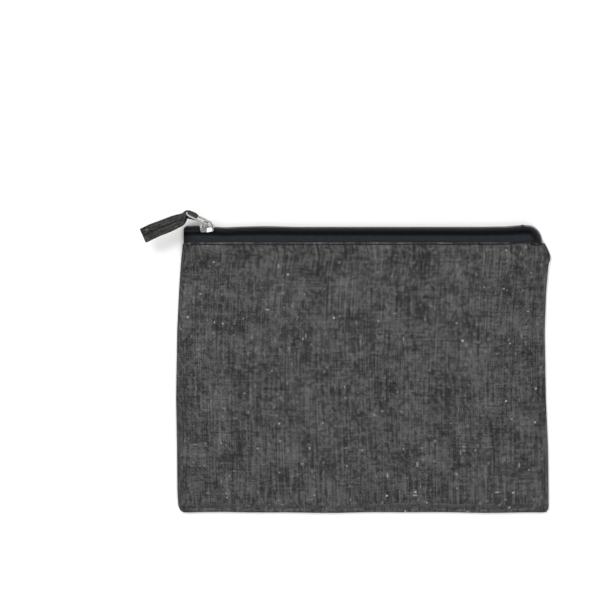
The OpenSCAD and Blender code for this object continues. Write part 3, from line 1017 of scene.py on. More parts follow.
@dataclass
class Panels:
    """The front and back of the pouch, with their turned edges and seam allowances."""

    outline: Outline
    mouth: Mouth
    finishes: Finishes
    cloth: float = 0.6 * MM
    inset: float = 0.75 * MM            # where the turned edge starts
    hem_in: float = 0.72 * MM           # where the fold at the mouth starts
    topstitch_in: float = 1.35 * MM     # the topstitching's distance from the fold
    topstitch_end: float = 99.0 * MM    # where it stops beside the open end
    seam_z: float = 2.1 * MM            # the front cloth's middle, where its edge starts to turn
    roof: float = 10.3 * MM             # its middle over the pouch
    hem_z: float = 11.0 * MM            # its middle at the folded edge
    hem_low: float = 36 * MM            # the y from which it rises to that
    hem_run: float = 34 * MM            # and the length that it takes
    side_run: float = 8.0 * MM          # how quickly it rises from the side seams
    foot_run: float = 17.0 * MM         # and from the bottom seam
    sag: float = 1.3 * MM               # how far it hangs between the seams
    ridge: float = 0.3 * MM             # how far the seam allowances show through it
    crease: float = 3.6 * MM            # depth of the crease at the closed end
    crease_y: float = 58.8 * MM         # where it is
    crease_run: float = 11 * MM         # and how far in it reaches
    fold_in: float = 1.0 * MM           # depth of the slanting hollow at the open end
    fold_y: float = 66 * MM             # where it meets the side seam
    fold_run: float = 14 * MM           # and how far in it reaches
    fine: float = 0.9 * MM              # the grid's spacing near the seams
    coarse: float = 2.3 * MM            # and elsewhere
    allowance: float = 8.0 * MM
    growth: float = 0.006               # spare length that the cloth settles into waves with
    cap: float = 2.2 * MM               # how far settling may move a point
    front_points: Array = field(init=False)

    def graded(self, length: float, fine_start: float, fine_end: float, fine: float) -> Array:
        """Shares of a length, closer together near its ends.

        Args:
            length: the whole length.
            fine_start: how much of its start has the fine spacing.
            fine_end: how much of its end has.
            fine: the fine spacing.

        Returns:
            The shares, from 0 to 1.
        """
        at = np.linspace(0, length, 2000)
        change = 8 * MM
        rough = ease((at - fine_start) / change) * ease((length - fine_end - at) / change)
        density = 1 / (fine + (self.coarse - fine) * rough)
        total = np.concatenate([[0], np.cumsum((density[1:] + density[:-1]) / 2 * np.diff(at))])
        return np.interp(np.linspace(0, total[-1], int(total[-1]) + 1), total, at) / length

    def plan(self) -> Array:
        """The flat grid inside the turned edges.

        Returns:
            The x and y of its points, in rows up from the bottom seam.
        """
        width = float(self.outline.right(0) - self.outline.left(0))
        height = self.outline.fold - self.outline.low
        share = self.graded(width, 9 * MM, 9 * MM, self.fine)
        below_hem = 2.6 * MM
        fine_up = self.fine + 0.05 * MM
        t = self.graded(height - below_hem, 5 * MM, 19 * MM, fine_up) * (1 - below_hem / height)
        hem = 1 - np.array([2.0, 1.5, 1.15, 0.9, 0.65, 0.4, 0.2, 0.0]) * MM / height
        t = np.concatenate([t, hem])
        foot = self.outline.foot(share, self.inset)
        y = foot[None, :] + (self.outline.fold - self.hem_in - foot[None, :]) * t[:, None]
        x = self.outline.spread(share[None, :], y, self.inset)
        return np.stack([x, y], -1)

    def edge_distances(self, plan: Array) -> tuple[Array, Array]:
        """How far in each point of the grid is.

        Args:
            plan: the grid.

        Returns:
            The distances from the nearer side seam and from the bottom seam.
        """
        x, y = plan[..., 0], plan[..., 1]
        side = np.minimum(x - plan[:, :1, 0], plan[:, -1:, 0] - x)
        return side, y - plan[:1, :, 1]

    def front_height(self, plan: Array) -> Array:
        """The front cloth's middle before it settles.

        Args:
            plan: the grid.

        Returns:
            Its height at each point.
        """
        y = plan[..., 1]
        side, foot = self.edge_distances(plan)
        body = (1 - np.exp(-side / self.side_run)) * (1 - np.exp(-foot / self.foot_run))
        near = ease((y - self.hem_low) / self.hem_run)
        roof = self.roof + (self.hem_z - self.roof) * near
        low = self.seam_z + (roof - self.seam_z) * body
        high = self.mouth.seam_z + (roof - self.mouth.seam_z) * self.mouth.openness(side + self.inset)
        sag = self.sag * bump(y, 10 * MM, 70 * MM) * ease(side / (60 * MM))
        ridge = self.ridge * bump(side, self.allowance, 3.2 * MM) * ease(foot / (14 * MM)) * (1 - near)
        return low * (1 - near) + high * near - sag + ridge

    def ripples(self, plan: Array) -> Array:
        """Small unevenness of the cloth: soft waves, and puckers beside the seams.

        Args:
            plan: the grid.

        Returns:
            How far each point is raised.
        """

        def rough(across: float, down: float, seed: float) -> Array:
            """Noise over the grid, of that reach across and down, in millimetres."""
            values = [noise.noise(Vector((x / across, y / down, seed))) for x, y in plan.reshape(-1, 2) / MM]
            return np.array(values).reshape(plan.shape[:2])

        side, foot = self.edge_distances(plan)
        near_side, near_foot = np.exp(-side / (9 * MM)), np.exp(-foot / (9 * MM))
        made = 0.55 * rough(38, 30, 3.1) + 0.16 * rough(12, 12, 7.7)
        made += 0.42 * near_side * rough(40, 7, 11.3) + 0.4 * near_foot * rough(6, 45, 5.9)
        return MM * made * ease(np.minimum(side, foot) / (1.5 * MM))

    def topstitch_from_fold(self, x: Array) -> Array:
        """How far in from the fold the topstitching runs at x; it drifts out to the fold at its end."""
        return self.topstitch_in - 0.8 * MM * ease((x - 85 * MM) / (3 * MM))

    def hem_puckers(self, plan: Array) -> Array:
        """The groove that the topstitching pulls into the cloth, and the puckers along it.

        Args:
            plan: the grid.

        Returns:
            How far each point is raised.
        """
        x, from_fold = plan[..., 0], self.outline.fold - plan[..., 1]
        depth = 0.46 + 0.08 * swell(x, 0.95 * MM)
        groove = depth * np.exp(-(((from_fold - self.topstitch_from_fold(x)) / (0.55 * MM)) ** 2))
        stop = ease((self.topstitch_end + 0.5 * MM - x) / (2 * MM))
        puckers = 0.12 * swell(x, 3.7 * MM) + 0.08 * swell(x, 2.1 * MM, 1)
        return MM * (np.exp(-from_fold / (4.5 * MM)) * puckers - groove * stop)

    def dents(self, plan: Array) -> Array:
        """The creases that such a pouch takes where its zipper ends are sewn in.

        Args:
            plan: the grid.

        Returns:
            How far each point is raised.
        """
        x, y = plan[..., 0], plan[..., 1]
        side, right_side = x - plan[:, :1, 0], plan[:, -1:, 0] - x
        left = self.crease * bump(y, self.crease_y, 1.8 * MM) * ease(1 - side / self.crease_run)
        off_slant = y - self.fold_y + 0.9 * (right_side - 2 * MM)
        right = self.fold_in * bump(off_slant, 0.0, 4.5 * MM) * ease(1 - right_side / self.fold_run)
        sewn = 0.8 * MM
        return -(left + right) * ease(side / sewn) * ease(right_side / sewn)

    def settle(self, points: Array) -> Array:
        """Lets the front cloth settle between its seams by cloth simulation.

        Args:
            points: the grid before settling.

        Returns:
            The grid after it, no point further than the cap from where it was.
        """
        patch = Patch()
        patch.grid(points, points[..., :2])
        trial = patch.piece("settling_cloth", self.finishes.cloth)
        index = np.arange(points[..., 0].size).reshape(points.shape[:2])
        hem_rows = 9
        held = np.unique(np.concatenate([index[0], index[-hem_rows:].ravel(), index[:, 0], index[:, -1]]))
        trial.vertex_groups.new(name="sewn").add([int(i) for i in held], 1.0, "REPLACE")
        cloth = trial.modifiers.new("Settle", "CLOTH")
        stuff = cloth.settings
        stuff.vertex_group_mass = "sewn"
        stuff.quality = 6
        stuff.mass = 0.1
        stuff.tension_stiffness = stuff.compression_stiffness = 20
        stuff.shear_stiffness = 8
        stuff.bending_stiffness = 2.0
        stuff.shrink_min = -self.growth
        stuff.use_pressure = True
        stuff.uniform_pressure_force = 0.25
        stuff.effector_weights.gravity = 0.1
        steps = 18
        cloth.point_cache.frame_start, cloth.point_cache.frame_end = 1, steps
        for step in range(1, steps + 1):
            bpy.context.scene.frame_set(step)
        seen = trial.evaluated_get(bpy.context.evaluated_depsgraph_get())
        moved = np.array([v.co for v in seen.data.vertices]).reshape(points.shape)
        bpy.context.scene.frame_set(1)
        bpy.data.objects.remove(trial)
        shift = moved - points
        length = np.linalg.norm(shift, axis=-1, keepdims=True)
        LOG.info("the front settled by up to %.2f mm", float(length.max()) / MM)
        return points + shift * np.minimum(1, self.cap / np.maximum(length, 1e-9))

    def cut_of(self, points: Array) -> Array:
        """The flat cloth's coordinates of a draped grid, from the lengths along it.

        Args:
            points: the draped grid.

        Returns:
            The places across and along the cloth.
        """
        across = arc_lengths(points, 1)
        across -= across[:, points.shape[1] // 2, None]
        return np.stack([across, arc_lengths(points, 0)], -1)

    def turned_edge(self, patch: Patch, loop: Array, cuts: Array, profile: Profile, flip: bool) -> None:
        """Adds the rolled edge outside a line of grid points.

        Args:
            patch: where the grid is.
            loop: the line's points, with the grid on its left.
            cuts: their flat coordinates.
            profile: the rings after the line.
            flip: faces the other way.
        """
        ahead = unit(np.gradient(loop[:, :2], axis=0))
        out = np.stack([ahead[:, 1], -ahead[:, 0]], -1)
        for _ in range(2):
            out[1:-1] = (out[:-2] + 2 * out[1:-1] + out[2:]) / 4
        out = unit(out)
        rings, flat, travelled = [loop], [cuts], 0.0
        last = (0.0, 0.0)
        for outwards, up in profile:
            ring = loop.copy()
            ring[:, :2] += out * outwards
            ring[:, 2] += up
            travelled += math.dist(last, (outwards, up))
            last = (outwards, up)
            rings.append(ring)
            flat.append(cuts + out * travelled)
        patch.grid(np.stack(rings), np.stack(flat), flip=not flip)

    def sheet(self, points: Array, profile: Profile, hem: Profile, flip: bool) -> Patch:
        """A panel: its grid, the turned edge along the three seams and the hem at the zipper.

        Args:
            points: the grid.
            profile: the turned edge's rings.
            hem: the hem's rings.
            flip: faces the panel down.

        Returns:
            The panel's surface.
        """

        def around(grid: Array) -> Array:
            """The grid's left, bottom and right edges in one line."""
            return np.concatenate([grid[::-1, 0], grid[0, 1:], grid[1:, -1]])

        cuts = self.cut_of(points)
        patch = Patch()
        patch.grid(points, cuts, flip=flip)
        self.turned_edge(patch, around(points), around(cuts), profile, flip)
        self.turned_edge(patch, points[-1, ::-1], cuts[-1, ::-1], hem, flip)
        return patch

    def weld(self, piece: bpy.types.Object) -> None:
        """Joins the edge's first ring to the grid it starts from.

        Args:
            piece: the panel.
        """
        joined = piece.modifiers.new("Join edges", "WELD")
        joined.merge_threshold = 0.004 * MM
        bpy.context.view_layer.objects.active = piece
        with bpy.context.temp_override(object=piece, active_object=piece, selected_objects=[piece]):
            bpy.ops.object.modifier_apply(modifier=joined.name)

    def front(self) -> bpy.types.Object:
        """The front panel.

        Returns:
            The piece.
        """
        plan = self.plan()
        height = self.front_height(plan) + self.ripples(plan) + self.dents(plan)
        points = self.settle(np.concatenate([plan, height[..., None]], -1))
        points[..., 2] += self.hem_puckers(plan)
        self.front_points = points
        turn = in_mm((0.45, -0.22), (0.70, -0.42), (0.75, -0.55), (0.55, -0.72), (-0.4, -0.8), (-2.0, -0.8))
        hem = in_mm((0.28, -0.05), (0.42, -0.22), (0.38, -0.42), (0.0, -0.55), (-2.5, -0.58))
        piece = self.sheet(points, turn, hem, flip=False).piece("front_panel_cloth", self.finishes.cloth)
        self.weld(piece)
        self.mouth.part(piece, reaches_down=True)
        thicken(piece, self.cloth, levels=1)
        return claim(piece, "cloth", "front_panel")

    def back(self) -> bpy.types.Object:
        """The back panel, flat on whatever the pouch lies on.

        Returns:
            The piece.
        """
        plan = self.plan()
        side, foot = self.edge_distances(plan)
        edge = np.minimum(side, foot)
        height = self.cloth / 2 + 0.16 * MM * np.exp(-edge / (1.0 * MM))
        points = np.concatenate([plan, height[..., None]], -1)
        turn = in_mm((0.45, 0.10), (0.70, 0.28), (0.75, 0.42), (0.55, 0.58), (-0.4, 0.62), (-2.0, 0.62))
        hem = in_mm((0.28, 0.05), (0.40, 0.18), (0.2, 0.32), (-2.0, 0.34))
        piece = self.sheet(points, turn, hem, flip=True).piece("back_panel_cloth", self.finishes.cloth)
        self.weld(piece)
        thicken(piece, self.cloth, levels=0)
        return give(piece, Body.POUCH, "cloth", "back_panel")

    def allowances(self) -> bpy.types.Object:
        """The seam allowances inside, both layers together.

        Returns:
            The piece.
        """
        outline = self.outline
        outer, inner = 1.6 * MM, self.allowance + 1.5 * MM
        halfway = 0.5 * (outer + inner)
        steps = ((outer, 1.45 * MM), (halfway, 1.35 * MM), (inner, 1.2 * MM))    # distance in, and height
        y = np.linspace(outline.low + 11 * MM, outline.fold - 7 * MM, 60)
        x = np.linspace(outline.left(outline.low) + 13 * MM, outline.right(outline.low) - 13 * MM, 90)
        patch = Patch()
        for edge, sign in ((outline.left, 1), (outline.right, -1)):
            rows = [np.stack([edge(y) + sign * d, y, np.full_like(y, h)], -1) for d, h in steps]
            grid = np.stack(rows)
            patch.grid(grid, grid[..., :2], flip=sign > 0)
        rows = [np.stack([x, np.full_like(x, outline.low + d), np.full_like(x, h)], -1) for d, h in steps]
        grid = np.stack(rows)
        patch.grid(grid, grid[..., :2])
        piece = patch.piece("seam_allowances", self.finishes.inner)
        thicken(piece, 1.0 * MM)
        return give(piece, Body.POUCH, "cloth")

    def build(self) -> list[bpy.types.Object]:
        """Builds the cloth, from the floor up."""
        return [self.back(), self.front(), self.allowances()]


@dataclass
class Sewing:
    """Every row of thread on the cloth: topstitching, seams, overlocking and the bartack."""

    panels: Panels
    topstitch: Stitch = Stitch(2.6 * MM, 0.3 * MM, 0.3 * MM, 0.3 * MM)
    sunk_stitch: Stitch = Stitch(2.6 * MM, 0.3 * MM, 0.3 * MM, 0.2 * MM)
    lockstitch: Stitch = Stitch(2.5 * MM, 0.4 * MM, 0.14 * MM, 0.2 * MM)
    seam_z: float = 1.9 * MM            # the height of the seams' thread
    seam_in: float = 1.6 * MM           # its distance from the edge
    overlock_step: float = 2.4 * MM     # from one overlock loop to the next
    bartack_x: float = 102.9 * MM
    bartack_in: float = 0.9 * MM        # its distance from the fold
    knot_r: float = 0.3 * MM            # the radius of its thread

    def on_front(self, x: Array, y: Array) -> Array:
        """Points on the front cloth's outer surface near the mouth.

        Args:
            x: their places along the zipper.
            y: their places up from the bottom seam.

        Returns:
            The points.
        """
        near_mouth = 16
        rows = self.panels.front_points[-near_mouth:]
        heights = []
        for px, py in zip(x, y):
            levels = [np.interp(px, row[:, 0], row[:, 2]) for row in rows]
            places = [np.interp(px, row[:, 0], row[:, 1]) for row in rows]
            heights.append(np.interp(py, places, levels))
        return np.stack([x, y, np.array(heights) + self.panels.cloth / 2], -1)

    def front_topstitch(self) -> bpy.types.Object:
        """The row that holds the front tape, beside the folded edge.

        Returns:
            The piece.
        """
        outline = self.panels.outline
        start = outline.left(outline.fold - self.panels.topstitch_in) + 1.4 * MM
        x = np.linspace(start, self.panels.topstitch_end, 420)
        y = outline.fold - self.panels.topstitch_from_fold(x)
        line = self.on_front(x, y + 0.12 * MM * swell(x, 31 * MM) + 0.05 * MM * swell(x, 4.7 * MM))
        line[:, 2] += 0.1 * MM
        up = np.tile([0.0, 0.0, 1.0], (len(line), 1))
        patch = Patch()
        self.topstitch.row(patch, line, up)
        piece = patch.piece("front_topstitching", self.panels.finishes.thread)
        self.panels.mouth.part(piece, reaches_down=True)
        return claim(piece, "thread", "front_topstitch")

    def back_topstitch(self) -> bpy.types.Object:
        """The row that holds the back tape, sunk in the back cloth.

        Returns:
            The piece.
        """
        outline = self.panels.outline
        y = outline.fold - self.panels.topstitch_in
        x = np.linspace(outline.left(y) + 1.6 * MM, outline.right(y) - 4 * MM, 300)
        line = np.stack([x, np.full_like(x, y), np.full_like(x, 0.5 * MM)], -1)
        up = np.tile([0.0, 0.0, -1.0], (len(line), 1))
        patch = Patch()
        self.sunk_stitch.row(patch, line, up)
        piece = patch.piece("back_topstitching", self.panels.finishes.thread)
        return give(piece, Body.POUCH, "thread", "back_topstitch")

    def bartack(self) -> bpy.types.Object:
        """A knot of back-and-forth stitches where the topstitching ends.

        Returns:
            The piece.
        """
        middle_x, middle_y = self.bartack_x, self.panels.outline.fold - self.bartack_in
        reach_x, reach_y = 3.0 * MM, 0.95 * MM
        turns = np.linspace(0, 6.5 * math.pi, 110)
        grow = 1 + 0.16 * np.sin(turns * 0.37)
        x, y = middle_x + reach_x * grow * np.cos(turns), middle_y + reach_y * grow * np.sin(turns)
        line = self.on_front(x, y)
        line[:, 2] += 0.22 * MM + 0.1 * MM * np.sin(turns * 2.3)
        patch = Patch()
        patch.tube(line, self.knot_r, 6)
        across = np.linspace(-1, 1, 7)
        for k in (-3, -2, -1, 1, 2, 3):
            half_length = (1.15 - 0.1 * abs(k)) * MM
            bar = self.on_front(middle_x + k * MM + 0.2 * MM * across, middle_y + across * half_length)
            bar[:, 2] += 0.3 * MM * (1 - across**4) - 0.05 * MM
            patch.tube(bar, self.knot_r - 0.02 * MM, 6)
        piece = patch.piece("bartack_thread", self.panels.finishes.thread)
        self.panels.mouth.part(piece, reaches_down=True)
        return claim(piece, "thread", "mouth_bartack")

    def seam_lines(self) -> dict[str, tuple[Array, Array]]:
        """Each inside seam's course.

        Returns:
            By its name, the line beside the edge and the direction in from the edge.
        """
        outline, edge = self.panels.outline, self.seam_in
        y = np.linspace(outline.low + 12 * MM, outline.fold - 8 * MM, 160)
        x = np.linspace(outline.left(outline.low) + 14 * MM, outline.right(outline.low) - 14 * MM, 200)
        left = np.stack([outline.left(y) + edge, y, np.full_like(y, self.seam_z)], -1)
        right = np.stack([outline.right(y) - edge, y, np.full_like(y, self.seam_z)], -1)
        bottom = np.stack([x, np.full_like(x, outline.low + edge), np.full_like(x, self.seam_z)], -1)
        return {
            "left": (left, np.array([1.0, 0.0, 0.0])),
            "right": (right, np.array([-1.0, 0.0, 0.0])),
            "bottom": (bottom, np.array([0.0, 1.0, 0.0])),
        }

    def seam(self, name: str, line: Array, inward: Array) -> bpy.types.Object:
        """The lockstitch row of one inside seam.

        Args:
            name: the seam's name.
            line: the line beside the edge.
            inward: the direction in from the edge.

        Returns:
            The piece.
        """
        patch = Patch()
        up = np.tile([0.0, 0.0, 1.0], (len(line), 1))
        self.lockstitch.row(patch, line + inward * 1.5 * MM, up)
        piece = patch.piece(f"{name}_seam_stitches", self.panels.finishes.seam)
        return give(piece, Body.POUCH, "thread", f"{name}_seam_thread")

    def overlock(self, name: str, line: Array, inward: Array) -> bpy.types.Object:
        """The overlock loops along the raw edges of one seam allowance.

        Args:
            name: the seam's name.
            line: the line beside the edge.
            inward: the direction in from the edge.

        Returns:
            The piece.
        """
        up = np.array([0.0, 0.0, 1.0])
        run = arc_lengths(line, 0)
        at = np.arange(0, run[-1], 0.32 * MM)
        middle = along(line, run, at)
        phase = at / self.overlock_step * 2 * math.pi
        raw_edge = self.panels.allowance - 0.2 * MM
        reach = raw_edge - 0.7 * MM - 1.5 * MM * np.abs(np.sin(phase / 2))
        wrap = middle + inward * reach[:, None] + up * (0.12 * MM * np.cos(phase))[:, None]
        edge = middle + inward * raw_edge + up * (0.3 * MM * np.sin(phase) - 0.45 * MM)[:, None]
        patch = Patch()
        patch.tube(wrap, 0.14 * MM, 5)
        patch.tube(edge, 0.16 * MM, 5)
        piece = patch.piece(f"{name}_overlock_stitches", self.panels.finishes.seam)
        return give(piece, Body.POUCH, "thread", f"{name}_overlock")

    def inside(self) -> list[bpy.types.Object]:
        """The lockstitch and overlock rows on the allowances.

        Returns:
            The pieces.
        """
        made = []
        for name, (line, inward) in self.seam_lines().items():
            made += [self.seam(name, line, inward), self.overlock(name, line, inward)]
        return made

    def build(self) -> list[bpy.types.Object]:
        """Builds the sewing."""
        return [self.front_topstitch(), self.back_topstitch(), self.bartack(), *self.inside()]


# ---------------------------------------------------------------- zipper


@dataclass
class Zipper:
    """The two tapes, the two coils with their cords and sewing, and the tacks at the chain's ends."""

    mouth: Mouth
    outline: Outline
    finishes: Finishes
    pitch: float = 1.2 * MM
    clear: float = 0.3 * MM             # from the chain's ends to its first and last turns
    outer: float = 2.0 * MM             # the coil's outer edge from the chain's middle
    tip: float = -0.45 * MM             # its teeth reach past the middle by this
    half_height: float = 0.85 * MM
    wire: float = 0.25 * MM             # the monofilament's radius
    cord_at: float = 1.05 * MM          # the cord's middle from the chain's
    cord_r: float = 0.36 * MM           # and its radius
    sewn_at: tuple[float, float] = (0.95 * MM, 1.5 * MM)    # the rows that hold the coil
    spread: float = 1.0 * MM            # how far each coil stands off beyond the slider
    run: float = 3.7 * MM               # where a tape turns away from under its coil
    bend: float = 1.2 * MM
    tape_thickness: float = 0.45 * MM
    reach: float = 14.0 * MM            # a tape's width from the chain's middle

    def ends(self) -> tuple[float, float]:
        """The chain's first and last place, measured along it."""
        mouth = self.mouth
        return mouth.ends()[0] + 0.35 * MM, mouth.bend_x + mouth.bend_turn * mouth.bend_r

    def apart(self, x: Array) -> Array:
        """How far a coil stands off from the middle at x."""
        return self.spread * (1 - ease((x - self.mouth.rest_x + 1.4 * MM) / (2.8 * MM)))

    def section(self, side: Side) -> Array:
        """A tape's cross-section, from under the coil to its inner end.

        Args:
            side: the tape's side.

        Returns:
            Its points, as y and z.
        """
        lean, sign = self.mouth.lean, side.value
        depth = -self.half_height - self.tape_thickness / 2
        points = [self.mouth.world(0.0, depth, sign * c)[1:] for c in np.linspace(0.9 * MM, self.run, 7)]
        heading = lean + math.pi / 2 if sign > 0 else lean - math.pi / 2
        turn = math.pi - heading if sign > 0 else -math.pi - heading
        position = np.array(points[-1])
        steps = 9
        stride = self.bend * abs(turn) / steps
        for _ in range(steps):
            heading += turn / steps
            middle = heading - turn / steps / 2
            position = position + stride * np.array([math.cos(middle), math.sin(middle)])
            points.append(position)
        left = self.reach - self.run - self.bend * abs(turn)
        points += [position + np.array([-left * share, 0.0]) for share in np.linspace(0, 1, 9)[1:]]
        return np.array(points)

    def stations(self) -> Array:
        """Places along the zipper, closer together at its ends.

        Returns:
            The places.
        """
        low, high = self.ends()
        q = np.linspace(0, 1, 190)
        q = 0.45 * q + 0.55 * (1 - np.cos(math.pi * q)) / 2
        return low + (high - low) * q

    def tape(self, side: Side) -> bpy.types.Object:
        """One woven tape.

        Args:
            side: its side.

        Returns:
            The piece.
        """
        section, x = self.section(side), self.stations()
        cross = np.concatenate([[0.0], np.cumsum(np.linalg.norm(np.diff(section, axis=0), axis=1))])
        grid = np.zeros((len(section), len(x), 3))
        grid[..., 0] = x[None]
        grid[..., 1:] = section[:, None]
        shaped = self.mouth.shape(grid)
        under = ease((self.outline.fold - grid[..., 1]) / (1.5 * MM))
        closed = 1 - (shaped[..., 2] / np.maximum(grid[..., 2], MM)).clip(0, 1)
        shaped[..., 2] -= 0.35 * MM * under * closed
        sag = 0.072 * MM * swell(x, 9.1 * MM) + 0.06 * MM * swell(x, 23 * MM, 2)
        shaped[..., 2] += sag[None] * ease((self.mouth.origin[1] - 2 * MM - grid[..., 1]) / (2 * MM))
        cuts = np.stack(np.broadcast_arrays(x[None], cross[:, None]), -1)
        patch = Patch()
        patch.grid(shaped, cuts, flip=side is Side.FRONT)
        name = side.name.lower()
        piece = patch.piece(f"{name}_tape_weave", self.finishes.tape)
        if side is Side.FRONT:
            self.mouth.part(piece)
            claim(piece, "tape", "front_tape")
        else:
            give(piece, Body.POUCH, "tape", "back_tape")
        thicken(piece, self.tape_thickness)
        return piece

    def follow(self, side: Side, piece: bpy.types.Object, slot: str, *nodes: str) -> bpy.types.Object:
        """Rides a piece of the chain on the pouch when it is on the back; a front piece goes through the
        mouth's part.

        Args:
            side: that side.
            piece: the piece.
            slot: its finish slot.
            nodes: the CAD nodes that it replaces.

        Returns:
            The piece.
        """
        if side is Side.FRONT:
            self.mouth.part(piece)
            return claim(piece, slot, *nodes)
        return give(piece, Body.POUCH, slot, *nodes)

    def coil(self, side: Side) -> bpy.types.Object:
        """One coil: a flattened helix whose turns mesh with the other's.

        Args:
            side: its side.

        Returns:
            The piece.
        """
        low, high = self.ends()
        start = low + self.clear + (0.0 if side is Side.FRONT else self.pitch / 2)
        turns = int((high - self.clear - start) / self.pitch)
        per_turn = 16
        angle = np.linspace(0, turns * 2 * math.pi, turns * per_turn + 1)
        x = start + self.pitch * (angle / (2 * math.pi) - 0.15 * np.sin(angle))
        half = (self.outer - self.tip) / 2 - self.wire
        middle = (self.outer + self.tip) / 2
        square = 0.78                   # below 1, it squares the round section off
        cosine, sine = np.cos(angle), np.sin(angle)
        c = middle - half * np.sign(cosine) * np.abs(cosine) ** square
        n = (self.half_height - self.wire) * np.sign(sine) * np.abs(sine) ** square
        points = self.mouth.world(x, n, side.value * (c + self.apart(x)))
        head = np.clip(cosine, 0, 1) ** 6
        patch = Patch()
        patch.tube(self.mouth.shape(points), self.wire * (1 + 0.18 * head), 7)
        piece = patch.piece(f"{side.name.lower()}_coil_helix", self.finishes.nylon)
        return self.follow(side, piece, "nylon", f"{side.name.lower()}_coil")

    def cord(self, side: Side) -> bpy.types.Object:
        """The knitted cord that a coil is wound on.

        Args:
            side: the coil's side.

        Returns:
            The piece.
        """
        x = np.linspace(*self.ends(), 420)
        points = self.mouth.world(x, 0.0, side.value * (self.cord_at + self.apart(x)))
        patch = Patch()
        patch.tube(self.mouth.shape(points), self.cord_r, 8)
        piece = patch.piece(f"{side.name.lower()}_knitted_cord", self.finishes.cord)
        return self.follow(side, piece, "cord", f"{side.name.lower()}_filler_cord")

    def coil_sewing(self, side: Side) -> bpy.types.Object:
        """The two rows of chain stitch that hold a coil to its tape.

        Args:
            side: the coil's side.

        Returns:
            The piece.
        """
        low, high = self.ends()
        x = np.arange(low, high, 0.15 * MM)
        phase = 0 if side is Side.FRONT else math.pi
        dip = np.cos((x - low - self.clear) / self.pitch * 2 * math.pi + phase)
        patch = Patch()
        height = self.half_height + 0.05 * MM + 0.07 * MM * dip
        for row in self.sewn_at:
            points = self.mouth.world(x, height, side.value * (row + self.apart(x)))
            patch.tube(self.mouth.shape(points), 0.12 * MM, 5)
        piece = patch.piece(f"{side.name.lower()}_coil_sewing", self.finishes.coil_thread)
        return self.follow(side, piece, "thread")

    def tack(self, name: str, node: str, half_width: float) -> bpy.types.Object:
        """A bar of thread sewn across the chain, which stops the slider.

        Args:
            name: the piece's name.
            node: the CAD node that it replaces.
            half_width: how far it reaches to each side of the chain's middle.

        Returns:
            The piece.
        """
        low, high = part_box(node)
        passes = 9
        t = np.linspace(0, passes, passes * 12 + 1)
        x = low.x + (high.x - low.x) * t / passes
        zigzag = 4 * np.abs(t / 2 - np.floor(t / 2 + 0.5)) - 1
        dive = 1.8 * MM * np.clip(np.abs(zigzag) - 0.8, 0, 1)
        out = self.half_height + 0.18 * MM - dive
        points = self.mouth.shape(self.mouth.world(x, out, half_width * zigzag))
        patch = Patch()
        patch.tube(points, 0.17 * MM, 6)
        piece = patch.piece(name, self.finishes.thread)
        return give(piece, Body.POUCH, "thread", node)

    def build(self) -> list[bpy.types.Object]:
        """Builds the zipper.

        Returns:
            The pieces.
        """
        made = []
        for side in Side:
            made += [self.tape(side), self.coil(side), self.cord(side), self.coil_sewing(side)]
        made.append(self.tack("closed_end_tack_thread", "closed_end_tack", 3.0 * MM))
        made.append(self.tack("open_end_tack_thread", "open_end_tack", 2.3 * MM))
        return made


# ---------------------------------------------------------------- slider and puller


@dataclass
class Hardware:
    """The metal: slider body, crown, locking leaf and wire loop, on their own CAD shapes."""

    finishes: Finishes
    rounding: float = 0.14 * MM

    def dress(self, node: str, material: bpy.types.Material, rounded: bool) -> bpy.types.Object:
        """Gives a CAD node its finish and softens its pressed edges.

        Args:
            node: the CAD node.
            material: its finish.
            rounded: whether it has edges to soften.

        Returns:
            The piece.
        """
        piece = frame["nodes"][node]
        piece.data.materials.clear()
        piece.data.materials.append(material)
        if rounded:
            soft = piece.modifiers.new("Pressed edges", "BEVEL")
            soft.width, soft.segments, soft.limit_method = self.rounding, 3, "ANGLE"
            soft.angle_limit = math.radians(38)
            soft.harden_normals = False
        LOG.info("dressed %s", node)
        return piece

    def build(self) -> list[bpy.types.Object]:
        """Dresses the metal.

        Returns:
            The pieces.
        """
        nickel, spring = self.finishes.nickel, self.finishes.spring
        return [
            self.dress("slider_body", nickel, True),
            self.dress("slider_crown", nickel, True),
            self.dress("slider_lock_spring", spring, False),
            self.dress("pull_loop", nickel, False),
        ]


